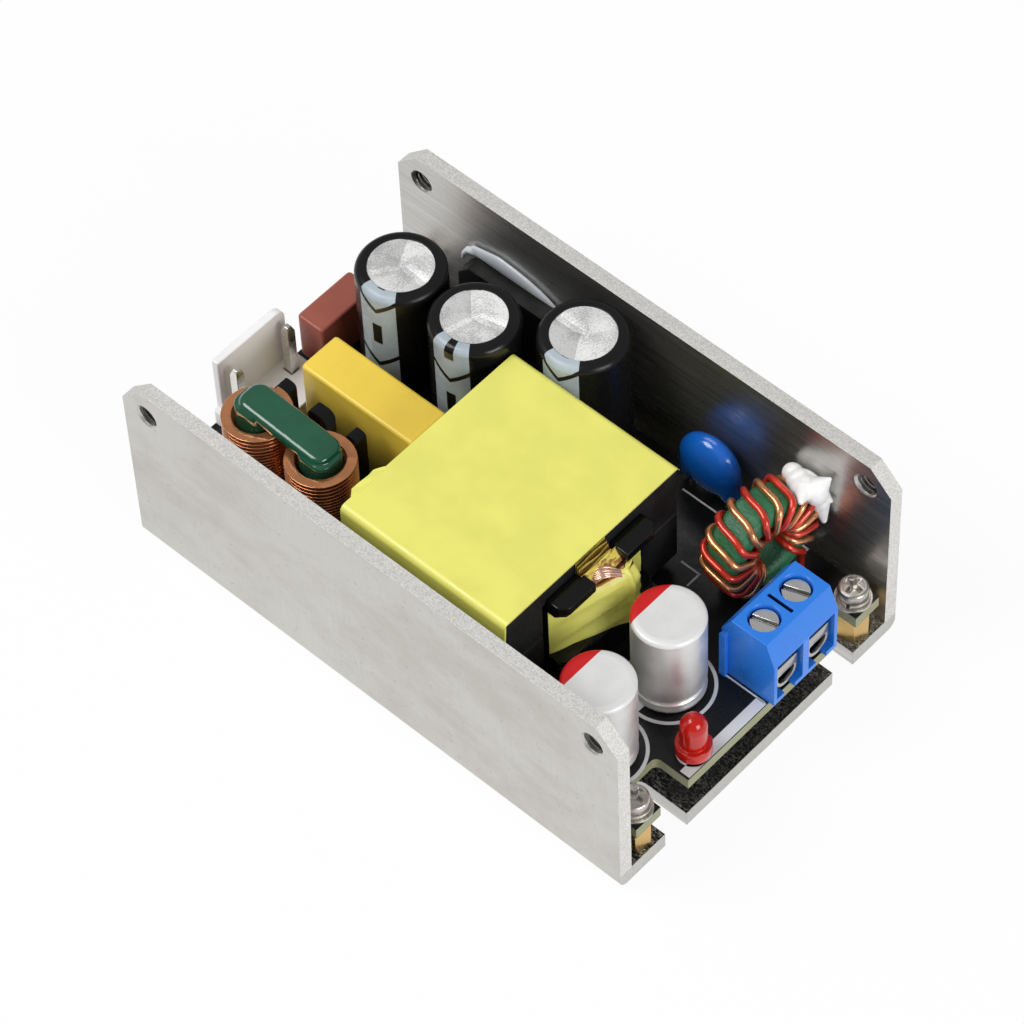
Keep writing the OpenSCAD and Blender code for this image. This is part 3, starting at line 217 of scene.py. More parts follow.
def make_polarity_group():
    """Pale polarity band up a round can, with dark chevrons and minus bars on it."""
    tree = group_tree(
        "Polarity band",
        [("Place", "NodeSocketVector", None), ("Axis", "NodeSocketVector", None),
         ("Heading", "NodeSocketFloat", 0.0), ("Half turn", "NodeSocketFloat", 0.46),
         ("Pitch", "NodeSocketFloat", 9.0), ("Top", "NodeSocketFloat", 27.0),
         ("Drop", "NodeSocketFloat", 2.5)],
        [("Band", "NodeSocketFloat"), ("Marks", "NodeSocketFloat")],
    )
    wire = Wiring(tree)
    ask = wire.asked()
    local = wire.add("VectorMath", operation="SUBTRACT")
    wire.feed(local.inputs[0], ask["Place"])
    wire.feed(local.inputs[1], ask["Axis"])
    turned = wire.add("VectorRotate", rotation_type="Z_AXIS")
    wire.feed(turned.inputs["Vector"], local.outputs[0])
    wire.feed(turned.inputs["Angle"], wire.times(ask["Heading"], -1.0))
    x, y, z = wire.split(turned.outputs[0])
    angle = wire.size(wire.math("ARCTAN2", y, x))
    edge = wire.minus(ask["Half turn"], angle)
    band = wire.band(edge, 0.0, 0.012)
    share = wire.math("DIVIDE", angle, ask["Half turn"])
    reach = wire.add("VectorMath", operation="LENGTH")
    wire.feed(reach.inputs[0], wire.stretch(local.outputs[0], (1.0, 1.0, 0.0)))
    inward = wire.larger(wire.minus(SLEEVE_R, reach.outputs["Value"]), 0.0)
    down = wire.minus(wire.minus(ask["Top"], z), inward)
    below_drop = wire.minus(down, ask["Drop"])
    slant = wire.plus(below_drop, wire.times(share, CHEVRON_DROP))
    lift = wire.plus(wire.math("DIVIDE", slant, ask["Pitch"]), 2.5)
    chevron_off = wire.size(wire.minus(wire.math("FRACT", lift), 0.5))
    chevron = wire.band(
        wire.times(chevron_off, ask["Pitch"]), CHEVRON_HALF + 0.05, CHEVRON_HALF - 0.05
    )
    bar_lift = wire.plus(wire.math("DIVIDE", wire.minus(below_drop, BAR_DROP), ask["Pitch"]), 2.5)
    bar_off = wire.size(wire.minus(wire.math("FRACT", bar_lift), 0.5))
    tall = wire.band(wire.times(bar_off, ask["Pitch"]), BAR_HALF + 0.075, BAR_HALF - 0.075)
    bar = wire.times(tall, wire.band(share, BAR_SHARE + 0.02, BAR_SHARE - 0.02))
    wire.give(Band=band, Marks=wire.larger(chevron, bar))
    return tree


GRAIN = make_grain_group()
BRUSHING = make_brushing_group()
POLARITY = make_polarity_group()


class Finish(Wiring):
    """One material: a Principled shader and the surface's place in millimetres."""

    def __init__(self, name, colour, roughness, metallic=0.0, **plain):
        self.material = bpy.data.materials.new(name)
        self.material.use_nodes = True
        super().__init__(self.material.node_tree)
        self.shader = self.tree.nodes["Principled BSDF"]
        self.colour = (*colour, 1.0)
        self.put("Base Color", self.colour)
        self.put("Roughness", roughness)
        self.put("Metallic", metallic)
        for label, value in plain.items():
            self.put(label.replace("_", " "), value)
        scale = self.add("VectorMath", operation="SCALE")
        self.feed(scale.inputs[0], self.add("TexCoord").outputs["Object"])
        self.feed(scale.inputs["Scale"], 1 / MM)
        self.place = scale.outputs[0]

    def put(self, label, value):
        self.feed(self.shader.inputs[label], value)

    def effect(self, tree, **values):
        """Place a shared effect on this surface."""
        node = self.tree.nodes.new("ShaderNodeGroup")
        node.node_tree = tree
        self.feed(node.inputs["Place"], self.place)
        for label, value in values.items():
            self.feed(node.inputs[label.replace("_", " ")], value)
        return node.outputs

    def tint(self, mask, low, high):
        """Base colour from a mask between two multiples of the plain colour."""
        dark = tuple(low * part for part in self.colour[:3]) + (1.0,)
        light = tuple(min(1.0, high * part) for part in self.colour[:3]) + (1.0,)
        colour = self.blend(mask, dark, light)
        self.put("Base Color", colour)
        return colour

    def rough(self, mask, low, high):
        self.put("Roughness", self.band(mask, 0.25, 0.75, low, high))

    def bump(self, height, depth_mm, strength=1.0):
        node = self.add("Bump")
        node.inputs["Strength"].default_value = strength
        node.inputs["Distance"].default_value = depth_mm * MM
        self.feed(node.inputs["Height"], height)
        self.put("Normal", node.outputs[0])


def plain_finish(name, colour, rough, metallic=0.0, grain=3.0, spread=0.08, depth=0.02, **plain):
    """Everyday finish: faint blotches in colour and gloss, and a fine moulded grain."""
    finish = Finish(name, colour, sum(rough) / 2, metallic, **plain)
    out = finish.effect(GRAIN, Grain_per_mm=grain)
    finish.tint(out["Mask"], 1 - spread, 1 + spread)
    finish.rough(out["Mask"], *rough)
    finish.bump(out["Height"], depth)
    return finish.material


CHANNEL_LOW, CHANNEL_HIGH = box_mm("channel")
CORNER_CLIP = 2.9
BASE_TOP = 2.2
WALL_T = 1.8
WALL_SKIN = 1.2
RIB_OUT = 0.6


def satin_colour(finish, lines):
    """Outer faces of the walls: brushed upright, with stains, clouds and a few specks."""
    stains = finish.effect(GRAIN, Grain_per_mm=5.0, Blotch_per_mm=0.07, Blotch_share=0.75)
    clouds = finish.noise(finish.stretch(finish.place, (0.06, 0.1, 0.10)), 1.0, 5.0, 0.7)
    specks = finish.band(finish.noise(finish.place, 1.9, 2.0, 0.5), 0.66, 0.72, 0.0, 0.45)
    colour = finish.blend(lines, (0.50, 0.488, 0.462, 1), (0.73, 0.713, 0.68, 1))
    colour = finish.blend(finish.times(stains["Mask"], 0.35), colour, (0.58, 0.56, 0.52, 1))
    colour = finish.blend(finish.band(clouds, 0.40, 0.66, 0.0, 0.65), colour, (0.49, 0.465, 0.42, 1))
    return finish.blend(specks, colour, (0.36, 0.35, 0.33, 1))


def polished_colour(finish, lines, scratch):
    """Inner faces of the walls: bright, with long brush lines and scratches."""
    colour = finish.blend(finish.band(lines, 0.35, 0.7), (0.47, 0.46, 0.44, 1), (0.60, 0.59, 0.565, 1))
    return finish.blend(finish.times(scratch, 0.3), colour, (0.80, 0.79, 0.76, 1))


def coating_colour(finish, y, folds):
    """Dark wrinkled coating on the base, pale along its folds and more so towards the walls: wear, with a
    painted highlight on the folds.
    """
    wear_and_highlight = finish.band(finish.noise(finish.place, 0.22, 1.0, 0.5), 0.42, 0.62, 0.25, 1.0)
    wear_and_highlight = finish.larger(wear_and_highlight, finish.band(finish.size(y), 9.0, 14.0))
    # Pale folds: partly wear, partly a painted highlight on the crests of the wrinkles.
    raised = finish.times(finish.band(folds, 0.05, 0.005), wear_and_highlight)
    colour = finish.blend(finish.band(y, 8.0, 15.0), (0.055, 0.055, 0.055, 1), (0.19, 0.19, 0.185, 1))
    return finish.blend(raised, colour, (0.70, 0.70, 0.685, 1))


def sawn_colour(finish, z, pits):
    """Cut edges: grainy and pale, greyer round the base."""
    colour = finish.blend(finish.band(pits, 0.3, 0.7), (0.56, 0.55, 0.53, 1), (0.82, 0.81, 0.785, 1))
    base_edge = finish.band(z, BASE_TOP + 0.05, BASE_TOP - 0.05, 0.0, 0.6)
    return finish.blend(base_edge, colour, (0.46, 0.455, 0.44, 1))


def channel_finish():
    """Sheet aluminium: satin outside, polished inside, sawn edges and a coated base."""
    finish = Finish("channel_aluminium_finish", (0.70, 0.69, 0.675), 0.33, 1.0)
    brush = finish.effect(BRUSHING, Lines=(0.10, 1.2, 5.0), Scratches=(0.05, 3.0, 2.2))
    upright = finish.effect(BRUSHING, Lines=(5.0, 1.2, 0.10), Scratches=(3.0, 2.0, 0.04))
    x, y, z = finish.split(finish.place)
    inside = finish.times(
        finish.band(y, CHANNEL_LOW.y + WALL_SKIN, CHANNEL_LOW.y + WALL_SKIN + 0.1),
        finish.band(y, CHANNEL_HIGH.y - WALL_SKIN, CHANNEL_HIGH.y - WALL_SKIN - 0.1),
    )
    outside = finish.rest(inside)
    lines = finish.plus(finish.times(upright["Mask"], outside), finish.times(brush["Mask"], inside))

    out_from_middle = finish.size(x)
    top_edge = finish.band(z, CHANNEL_HIGH.z - 0.06, CHANNEL_HIGH.z - 0.02)
    end_face = finish.band(out_from_middle, CHANNEL_HIGH.x - 0.06, CHANNEL_HIGH.x - 0.02)
    clip_line = CHANNEL_HIGH.x + CHANNEL_HIGH.z - CORNER_CLIP
    clipped = finish.band(finish.plus(out_from_middle, z), clip_line - 0.08, clip_line - 0.03)
    sawn = finish.larger(top_edge, finish.larger(end_face, clipped))
    level = finish.times(
        finish.band(z, BASE_TOP - 0.06, BASE_TOP - 0.02), finish.band(z, BASE_TOP + 0.1, BASE_TOP + 0.05)
    )
    coated = finish.times(level, finish.minus(inside, finish.times(sawn, inside)))

    pits = finish.noise(finish.place, 5.5, 4.0, 0.65)
    wrinkles = finish.noise(finish.stretch(finish.place, (1.1, 2.2, 1.0)), 1.0, 4.0, 0.62)
    folds = finish.size(finish.minus(wrinkles, 0.5))
    polished = polished_colour(finish, lines, brush["Scratch"])
    face = finish.blend(inside, satin_colour(finish, lines), polished)
    face = finish.blend(coated, face, coating_colour(finish, y, folds))
    finish.put("Base Color", finish.blend(sawn, face, sawn_colour(finish, z, pits)))

    satin_rough = finish.band(lines, 0.3, 0.7, 0.32, 0.42)
    polished_rough = finish.band(lines, 0.35, 0.7, 0.27, 0.36)
    face_rough = finish.plus(finish.times(polished_rough, inside), finish.times(satin_rough, outside))
    finish.put("Roughness", finish.larger(face_rough, finish.times(sawn, 0.62)))
    plain_metal = finish.rest(finish.times(inside, 0.07))
    finish.put("Metallic", finish.minus(plain_metal, finish.times(sawn, 0.5)))

    soft_lines = finish.times(lines, finish.band(inside, 0.0, 1.0, 0.35, 0.12))
    ridges = finish.plus(soft_lines, finish.times(brush["Scratch"], 0.12))
    rough_edges = finish.plus(ridges, finish.times(pits, sawn))
    finish.bump(finish.plus(rough_edges, finish.times(finish.times(folds, coated), 22.0)), 0.03)
    return finish.material


def can_finish(name, shade):
    """Bare can end with a fine sugary grain, lighter or darker by a painted light share for its sector.
    """
    # Painted light: the colour is scaled by the sector's share of light.
    colour = tuple(shade * part for part in (0.955, 0.955, 0.96))
    finish = Finish(name, colour, 0.4, 0.35)
    out = finish.effect(GRAIN, Grain_per_mm=5.2, Blotch_per_mm=0.3, Blotch_share=0.2)
    finish.tint(finish.band(out["Mask"], 0.38, 0.58), 0.70, 1.05)
    finish.rough(out["Mask"], 0.32, 0.46)
    finish.bump(out["Height"], 0.05)
    return finish.material


MARK_DROP = {1: 2.5, 2: 5.5, 3: 2.4}
BAND_HEADING = radians(-80.5)
BAND_HALF_TURN = radians(26.5)


def sleeve_finish(number):
    """Black shrink sleeve with the pale polarity band of one bulk capacitor."""
    finish = Finish(
        f"black_sleeve_finish_{number}", (0.007, 0.007, 0.0075), 0.24, 0.0, Specular_IOR_Level=0.28
    )
    axis = centre_mm(f"bulk_sleeve_{number}")
    top = box_mm(f"bulk_sleeve_{number}")[1].z
    band = finish.effect(
        POLARITY, Axis=(axis.x, axis.y, 0.0), Heading=BAND_HEADING, Half_turn=BAND_HALF_TURN, Top=top,
        Drop=MARK_DROP[number],
    )
    grain = finish.effect(GRAIN, Grain_per_mm=2.0, Blotch_per_mm=0.3)
    pale = finish.blend(grain["Mask"], (0.36, 0.42, 0.47, 1), (0.48, 0.55, 0.61, 1))
    shown = finish.times(band["Band"], finish.rest(band["Marks"]))
    finish.put("Base Color", finish.blend(shown, finish.colour, pale))
    finish.rough(grain["Mask"], 0.18, 0.32)
    finish.bump(grain["Mask"], 0.03)
    return finish.material


RED_SEGMENT_AT = 2.22


def output_can_finish(number):
    """Bare can with a pale printed top and a red polarity segment."""
    finish = Finish(f"output_can_finish_{number}", (0.80, 0.80, 0.80), 0.46, 0.8)
    top = box_mm(f"output_can_{number}")[1].z
    red_edge = centre_mm(f"output_can_{number}").x - RED_SEGMENT_AT
    place = finish.split(finish.place)
    print_top = finish.band(place["Z"], top - 0.62, top - 0.5)
    red = finish.times(print_top, finish.band(place["X"], red_edge, red_edge - 0.08))
    grain = finish.effect(GRAIN, Grain_per_mm=6.0, Blotch_per_mm=0.5, Blotch_share=0.25)
    bare = finish.blend(grain["Mask"], (0.66, 0.655, 0.65, 1), (0.86, 0.855, 0.845, 1))
    pale = finish.blend(grain["Mask"], (0.74, 0.74, 0.745, 1), (0.84, 0.84, 0.84, 1))
    printed = finish.blend(red, pale, (0.66, 0.010, 0.012, 1))
    finish.put("Base Color", finish.blend(print_top, bare, printed))
    finish.put("Metallic", finish.band(print_top, 0.0, 1.0, 0.82, 0.2))
    finish.rough(grain["Mask"], 0.40, 0.52)
    finish.bump(grain["Height"], 0.02)
    return finish.material


def tape_finish(name, colour, wrinkle):
    """Polyester tape: glossy, slightly wavy, with faint cloudy patches."""
    finish = Finish(name, colour, 0.3)
    out = finish.effect(GRAIN, Grain_per_mm=1.2, Blotch_per_mm=0.16, Blotch_share=0.8)
    finish.tint(out["Mask"], 0.94, 1.05)
    finish.rough(out["Mask"], 0.26, 0.38)
    waves = finish.noise(finish.stretch(finish.place, (0.25, 0.6, 0.25)), 1.0, 2.0, 0.5)
    finish.bump(waves, wrinkle, 0.6)
    return finish.material


def layer_finish():
    """Winding insulation seen at its edge: yellow, streaked with amber varnish."""
    finish = Finish("winding_layer_finish", (0.74, 0.62, 0.10), 0.3)
    streaks = finish.noise(finish.stretch(finish.place, (2.6, 0.7, 1.2)), 1.0, 3.0, 0.6)
    varnish = finish.band(streaks, 0.44, 0.60)
    finish.put("Base Color", finish.blend(varnish, finish.colour, (0.30, 0.11, 0.022, 1)))
    finish.rough(streaks, 0.2, 0.34)
    finish.bump(streaks, 0.08)
    return finish.material


def copper_finish(name, colour, rough):
    """Enamelled copper with darker smudges."""
    finish = Finish(name, colour, sum(rough) / 2, 0.82, Coat_Weight=0.4, Coat_Roughness=0.15)
    out = finish.effect(GRAIN, Grain_per_mm=2.5, Blotch_per_mm=0.5, Blotch_share=0.6)
    finish.tint(out["Mask"], 0.82, 1.12)
    finish.rough(out["Mask"], *rough)
    finish.bump(out["Height"], 0.015)
    return finish.material


def turned_finish(name, colour, rough, lines, axis, level, painted_shade):
    """Bright plated metal with fine tool lines, with a painted shade below a level along one axis."""
    finish = Finish(name, colour, sum(rough) / 2, 1.0)
    brush = finish.effect(BRUSHING, Lines=lines, Scratches=lines)
    unshaded = finish.tint(brush["Mask"], 0.82, 1.12)
    # Painted shade: below the level the metal is dark, as if down in a recess.
    along = finish.split(finish.place)[axis]
    shown = finish.band(along, level - 0.04, level + 0.04)
    finish.put("Base Color", finish.blend(shown, (painted_shade, painted_shade, painted_shade, 1), unshaded))
    finish.rough(brush["Mask"], *rough)
    finish.bump(brush["Mask"], 0.004)
    return finish.material


def film_finish():
    """Yellow case, with a painted shade darkening it towards its foot."""
    finish = Finish("yellow_plastic_finish", (0.96, 0.69, 0.085), 0.34)
    low, high = box_mm("film_capacitor")
    z = finish.split(finish.place)[2]
    out = finish.effect(GRAIN, Grain_per_mm=2.0)
    unshaded = finish.tint(out["Mask"], 0.95, 1.05)
    # Painted shade: darker from just under the top down to the foot, as shade from the parts beside it.
    painted_shade = finish.blend(out["Mask"], (0.20, 0.14, 0.030, 1), (0.34, 0.24, 0.045, 1))
    finish.put("Base Color", finish.blend(finish.band(z, high.z - 0.8, low.z), unshaded, painted_shade))
    finish.rough(out["Mask"], 0.28, 0.4)
    finish.bump(out["Height"], 0.03)
    return finish.material


def terminal_finish():
    """Blue moulding, with a painted shade down in the slot between its two screws."""
    finish = Finish("blue_plastic_finish", (0.020, 0.20, 0.76), 0.32)
    low, high = box_mm("terminal_housing")
    middle = (low.y + high.y) / 2 + 0.5 * RIB_OUT
    x, y, z = finish.split(finish.place)
    out = finish.effect(GRAIN, Grain_per_mm=4.0)
    unshaded = finish.tint(out["Mask"], 0.94, 1.06)
    off_middle = finish.size(finish.minus(y, middle))
    off_screws = finish.size(finish.minus(x, centre_mm("terminal_screw_1").x))
    across = finish.times(finish.band(off_middle, 0.5, 0.4), finish.band(off_screws, 1.78, 1.72))
    down = finish.times(
        finish.band(z, high.z - 0.12, high.z - 0.35), finish.band(z, high.z - 1.6, high.z - 1.5)
    )
    # Painted shade: near black down in the slot between the screws.
    slot = finish.times(across, down)
    finish.put("Base Color", finish.blend(slot, unshaded, (0.003, 0.012, 0.05, 1)))
    finish.rough(out["Mask"], 0.26, 0.38)
    finish.bump(out["Height"], 0.015)
    return finish.material


def lamp_finish():
    """Clear red epoxy of the lamp."""
    finish = Finish("red_lens_finish", (0.80, 0.012, 0.004), 0.12, 0.0, Transmission_Weight=0.45, IOR=1.5)
    out = finish.effect(GRAIN, Grain_per_mm=1.0, Blotch_per_mm=0.4)
    finish.tint(out["Mask"], 0.9, 1.05)
    finish.rough(out["Mask"], 0.08, 0.16)
    return finish.material


def board_finish():
    """Black solder mask over the laminate, with pale greenish cut edges."""
    finish = Finish("board_finish", (0.010, 0.0105, 0.012), 0.3, 0.0, Specular_IOR_Level=0.22)
    low, high = box_mm("circuit_board")
    z = finish.split(finish.place)[2]
    skin = finish.size(finish.minus(z, (low.z + high.z) / 2))
    half = (high.z - low.z) / 2
    edge = finish.band(skin, half - 0.06, half - 0.03)
    grain = finish.effect(GRAIN, Grain_per_mm=2.5, Blotch_per_mm=0.2)
    mask_colour = finish.blend(grain["Mask"], (0.007, 0.0075, 0.008, 1), (0.014, 0.0145, 0.0155, 1))
    fibres = finish.noise(finish.stretch(finish.place, (1.0, 1.0, 9.0)), 1.0, 3.0, 0.6)
    cut_colour = finish.blend(fibres, (0.20, 0.21, 0.11, 1), (0.36, 0.37, 0.22, 1))
    finish.put("Base Color", finish.blend(edge, cut_colour, mask_colour))
    finish.rough(grain["Mask"], 0.24, 0.4)
    finish.bump(grain["Height"], 0.01)
    return finish.material


PLAIN_FINISHES = {
    "brass": ((0.62, 0.42, 0.16), (0.22, 0.4), 1.0, 3.0, 0.2),
    "plated_steel": ((0.60, 0.57, 0.52), (0.28, 0.46), 0.95, 3.0, 0.4, 0.05),
    "ferrite": ((0.009, 0.009, 0.0095), (0.42, 0.62), 0.0, 5.0, 0.3, 0.05),
    "black_plastic": ((0.004, 0.004, 0.0042), (0.08, 0.17), 0.0, 1.5, 0.2),
    "tinned_wire": ((0.75, 0.74, 0.70), (0.2, 0.35), 0.95, 3.0, 0.15),
    "black_sleeve": ((0.007, 0.007, 0.0075), (0.18, 0.32)),
    "black_rubber": ((0.015, 0.015, 0.015), (0.5, 0.7)),
    "blue_coating": ((0.006, 0.130, 0.60), (0.12, 0.2), 0.0, 0.8, 0.12, 0.05),
    "green_coating": ((0.022, 0.145, 0.062), (0.22, 0.42), 0.0, 2.5, 0.4, 0.16),
    "red_enamel": ((0.66, 0.040, 0.018), (0.16, 0.3), 0.45, 1.5, 0.25),
    "white_silicone": ((0.92, 0.92, 0.915), (0.2, 0.35), 0.0, 1.2, 0.03, 0.04),
    "brick_plastic": ((0.38, 0.105, 0.075), (0.3, 0.42), 0.0, 4.0),
    "white_nylon": ((0.965, 0.96, 0.965), (0.3, 0.42), 0.0, 2.0, 0.02),
    "dark_green_coating": ((0.009, 0.088, 0.046), (0.10, 0.18), 0.0, 0.9, 0.2, 0.05),
    "bridge": ((0.007, 0.007, 0.007), (0.4, 0.55), 0.0, 4.0, 0.2, 0.03),
    # thread: dark grey as a painted shade down in the tapped holes of the pale wall.
    "thread": ((0.10, 0.098, 0.095), (0.22, 0.35), 0.9, 3.0, 0.3, 0.03),
    "compound": ((0.62, 0.65, 0.70), (0.12, 0.22), 0.0, 1.5, 0.12, 0.03),
    "white_print": ((0.70, 0.72, 0.74), (0.4, 0.55), 0.0, 3.0, 0.06, 0.01),
}
PLAIN_SETTINGS = {
    "ferrite": {"Specular_IOR_Level": 0.3},
    "black_plastic": {"Specular_IOR_Level": 0.3},
    "blue_coating": {"Coat_Weight": 0.5, "Coat_Roughness": 0.06},
    "red_enamel": {"Coat_Weight": 0.6, "Coat_Roughness": 0.1},
    "dark_green_coating": {"Coat_Weight": 0.5, "Coat_Roughness": 0.06},
    "bridge": {"Specular_IOR_Level": 0.2},
}
FINISHES = {
    name: plain_finish(f"{name}_finish", *values, **PLAIN_SETTINGS.get(name, {}))
    for name, values in PLAIN_FINISHES.items()
}
FINISHES.update(
    channel_aluminium=channel_finish(),
    board_laminate=board_finish(),
    copper=copper_finish("copper_finish", (0.80, 0.34, 0.15), (0.14, 0.26)),
    yellow_tape=tape_finish("yellow_tape_finish", (0.82, 0.80, 0.175), 0.06),
    can_aluminium=can_finish("can_aluminium_finish", 1.0),
    blue_plastic=terminal_finish(),
    red_lens=lamp_finish(),
    yellow_plastic=film_finish(),
)
# Painted shade on both: the clamp screw is dark grey below the top of its head, and the cage, with the
# back of its collar round the bore, is near black as if down in the housing.
CLAMP_FINISH = turned_finish(
    "clamp_screw_finish", (0.90, 0.90, 0.89), (0.20, 0.30), (0.5, 5.0, 0.5), 2,
    box_mm("terminal_screw_1")[1].z - 0.42, 0.16,
)
CAGE_FINISH = turned_finish(
    "clamp_cage_finish", (0.48, 0.46, 0.43), (0.25, 0.4), (2.0, 2.0, 5.0), 0,
    box_mm("terminal_cage_1")[1].x + 0.7, 0.05,
)
# Painted light: lighter and darker copies of the can end's finish, one for each sector by how it faces
# the light.
SECTOR_PAINTED_LIGHT = (0.72, 0.88, 1.0)
SECTOR_FINISHES = [
    can_finish(f"can_end_painted_light_{place}", shade) for place, shade in enumerate(SECTOR_PAINTED_LIGHT)
]
STRAND_FINISH = copper_finish("strand_finish", (0.90, 0.56, 0.44), (0.2, 0.4))
LAYER_FINISH = layer_finish()
AMBER_FINISH = tape_finish("amber_tape_finish", (0.30, 0.095, 0.020), 0.05)
SLOT_OF = {part["node"]: part["material_slot"] for part in frame["record"]["subparts"]}
BODY_OF = {node: body for body, nodes in frame["record"]["behaviour"]["bodies"].items() for node in nodes}

for node, solid in frame["nodes"].items():
    solid.data.materials.clear()
    solid.data.materials.append(FINISHES[SLOT_OF[node]])


# Building pieces

def piece(name, bm, finishes, body="chassis", stands_for=(), sharp=35.0):
    """Turn a modelled shape into a finished piece that rides on a body."""
    mesh = bpy.data.meshes.new(name)
    bm.to_mesh(mesh)
    bm.free()
    mesh.shade_smooth()
    mesh.set_sharp_from_angle(angle=radians(sharp))
    for finish in finishes:
        mesh.materials.append(finish)
    obj = bpy.data.objects.new(name, mesh)
    SCENE.collection.objects.link(obj)
    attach(obj, body)
    if stands_for:
        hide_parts(*stands_for)
    return obj


def even_normals(obj):
    """Keep flat faces flat beside their rounded edges."""
    modifier = obj.modifiers.new("even_normals", "WEIGHTED_NORMAL")
    modifier.keep_sharp = True


def merged_copy(node):
    """A solid's mesh with its loose triangles merged into whole faces."""
    bm = bmesh.new()
    bm.from_mesh(frame["nodes"][node].data)
    bmesh.ops.remove_doubles(bm, verts=bm.verts, dist=1e-4 * MM)
    bmesh.ops.dissolve_limit(bm, angle_limit=radians(1.0), verts=bm.verts, edges=bm.edges)
    return bm


def round_edges(bm, chosen, width, segments):
    """Round the chosen edges only."""
    bmesh.ops.bevel(
        bm, geom=chosen, offset=width * MM, offset_type="OFFSET", segments=segments, profile=0.5,
        affect="EDGES", clamp_overlap=True, material=-1,
    )


def soften(bm, width, segments=2, angle=30.0):
    """Round every edge sharper than an angle."""
    edges = [edge for edge in bm.edges if edge.is_manifold and edge.calc_face_angle() > radians(angle)]
    round_edges(bm, edges, width, segments)


def stand_in(name, bm, node, finish=None, sharp=35.0):
    """A finished piece in the place of a solid, riding on the solid's body."""
    slot = SLOT_OF[node]
    return piece(name, bm, [finish or FINISHES[slot]], BODY_OF[node], [node], sharp)


def formed(name, bm, node, width, segments=2, finish=None):
    """Soften a shape and let it stand for its solid."""
    soften(bm, width, segments)
    even_normals(stand_in(name, bm, node, finish))


def dressed(node, width, finish=None):
    """A solid with softened edges and its own finish."""
    formed(f"{node}_soft", merged_copy(node), node, width, 2, finish)


EDGE_ROUNDING = {
    "channel": 0.12,
    "standoffs": 0.12,
    "spring_washers": 0.08,
    "flat_washers": 0.05,
    "core_upper": 0.35,
    "core_lower": 0.35,
    "terminal_housing": 0.1,
    "film_capacitor": 0.45,
    "fuse_body": 0.35,
    "inlet_pins": 0.06,
    "toroid_core": 0.45,
}
for node, width in EDGE_ROUNDING.items():
    dressed(node, width)
for number in (1, 2):
    dressed(f"terminal_screw_{number}", 0.06, CLAMP_FINISH)
    dressed(f"terminal_cage_{number}", 0.08, CAGE_FINISH)
for number in (1, 2, 3):
    dressed(f"bulk_sleeve_{number}", 0.08, sleeve_finish(number))


def everything(bm):
    """All of a shape, for the tools that ask for it."""
    return [*bm.verts, *bm.edges, *bm.faces]


def slice_across(bm, spot, normal):
    """Add a line of edges where a plane crosses a shape."""
    bmesh.ops.bisect_plane(bm, geom=everything(bm), plane_co=mm(*spot), plane_no=normal)


def below(node, height):
    """The part of a solid under a height, such as its legs and solder."""
    bm = merged_copy(node)
    cut = bmesh.ops.bisect_plane(
        bm, geom=everything(bm), plane_co=mm(0, 0, height), plane_no=UP, clear_outer=True
    )
    rim = [part for part in cut["geom_cut"] if isinstance(part, bmesh.types.BMEdge)]
    bmesh.ops.holes_fill(bm, edges=rim, sides=0)
    return bm


def lay_wire(bm, points, radius, sides=4):
    """Add a round wire along points given in millimetres."""
    curve = bpy.data.curves.new("wire_path", "CURVE")
    curve.dimensions = "3D"
    curve.bevel_depth = radius * MM
    curve.bevel_resolution = sides
    curve.use_fill_caps = True
    spline = curve.splines.new("POLY")
    spline.points.add(len(points) - 1)
    for spot, point in zip(spline.points, points):
        spot.co = (*mm(*point), 1.0)
    obj = bpy.data.objects.new("wire_path", curve)
    SCENE.collection.objects.link(obj)
    mesh = bpy.data.meshes.new_from_object(obj.evaluated_get(bpy.context.evaluated_depsgraph_get()))
    bm.from_mesh(mesh)
    bpy.data.objects.remove(obj)
    bpy.data.curves.remove(curve)
    bpy.data.meshes.remove(mesh)


def closed_outward(bm):
    """Merge doubles and turn every face outwards."""
    bmesh.ops.remove_doubles(bm, verts=bm.verts, dist=1e-3 * MM)
    bmesh.ops.recalc_face_normals(bm, faces=bm.faces)


def join(bm, other):
    """Add another shape to a shape and let the other go."""
    mesh = bpy.data.meshes.new("joined")
    other.to_mesh(mesh)
    other.free()
    bm.from_mesh(mesh)
    bpy.data.meshes.remove(mesh)


def block(low, high):
    """A plain box between two corners in millimetres, for rounding afterwards."""
    bm = bmesh.new()
    middle = (low + high) / 2
    place = Matrix.Translation(middle * MM) @ Matrix.Diagonal((*((high - low) * MM), 1.0))
    bmesh.ops.create_cube(bm, size=1.0, matrix=place)
    return bm


def uprights(bm, keep=lambda x, y: True):
    """Vertical edges, all or those at chosen places."""
    found = []
    for edge in bm.edges:
        a, b = (vert.co / MM for vert in edge.verts)
        if (a - b).xy.length < 1e-3 and keep(a.x, a.y):
            found.append(edge)
    return found


TAB_LIFT = 1.0
TAB_OUT = 0.4
TAB_CLIP = 0.9
TAB_GAP_HALF = 2.35
FLANGE_FOOT = 20.0
FLANGE_BACK = 0.9
BOBBIN_ROUND = 0.22


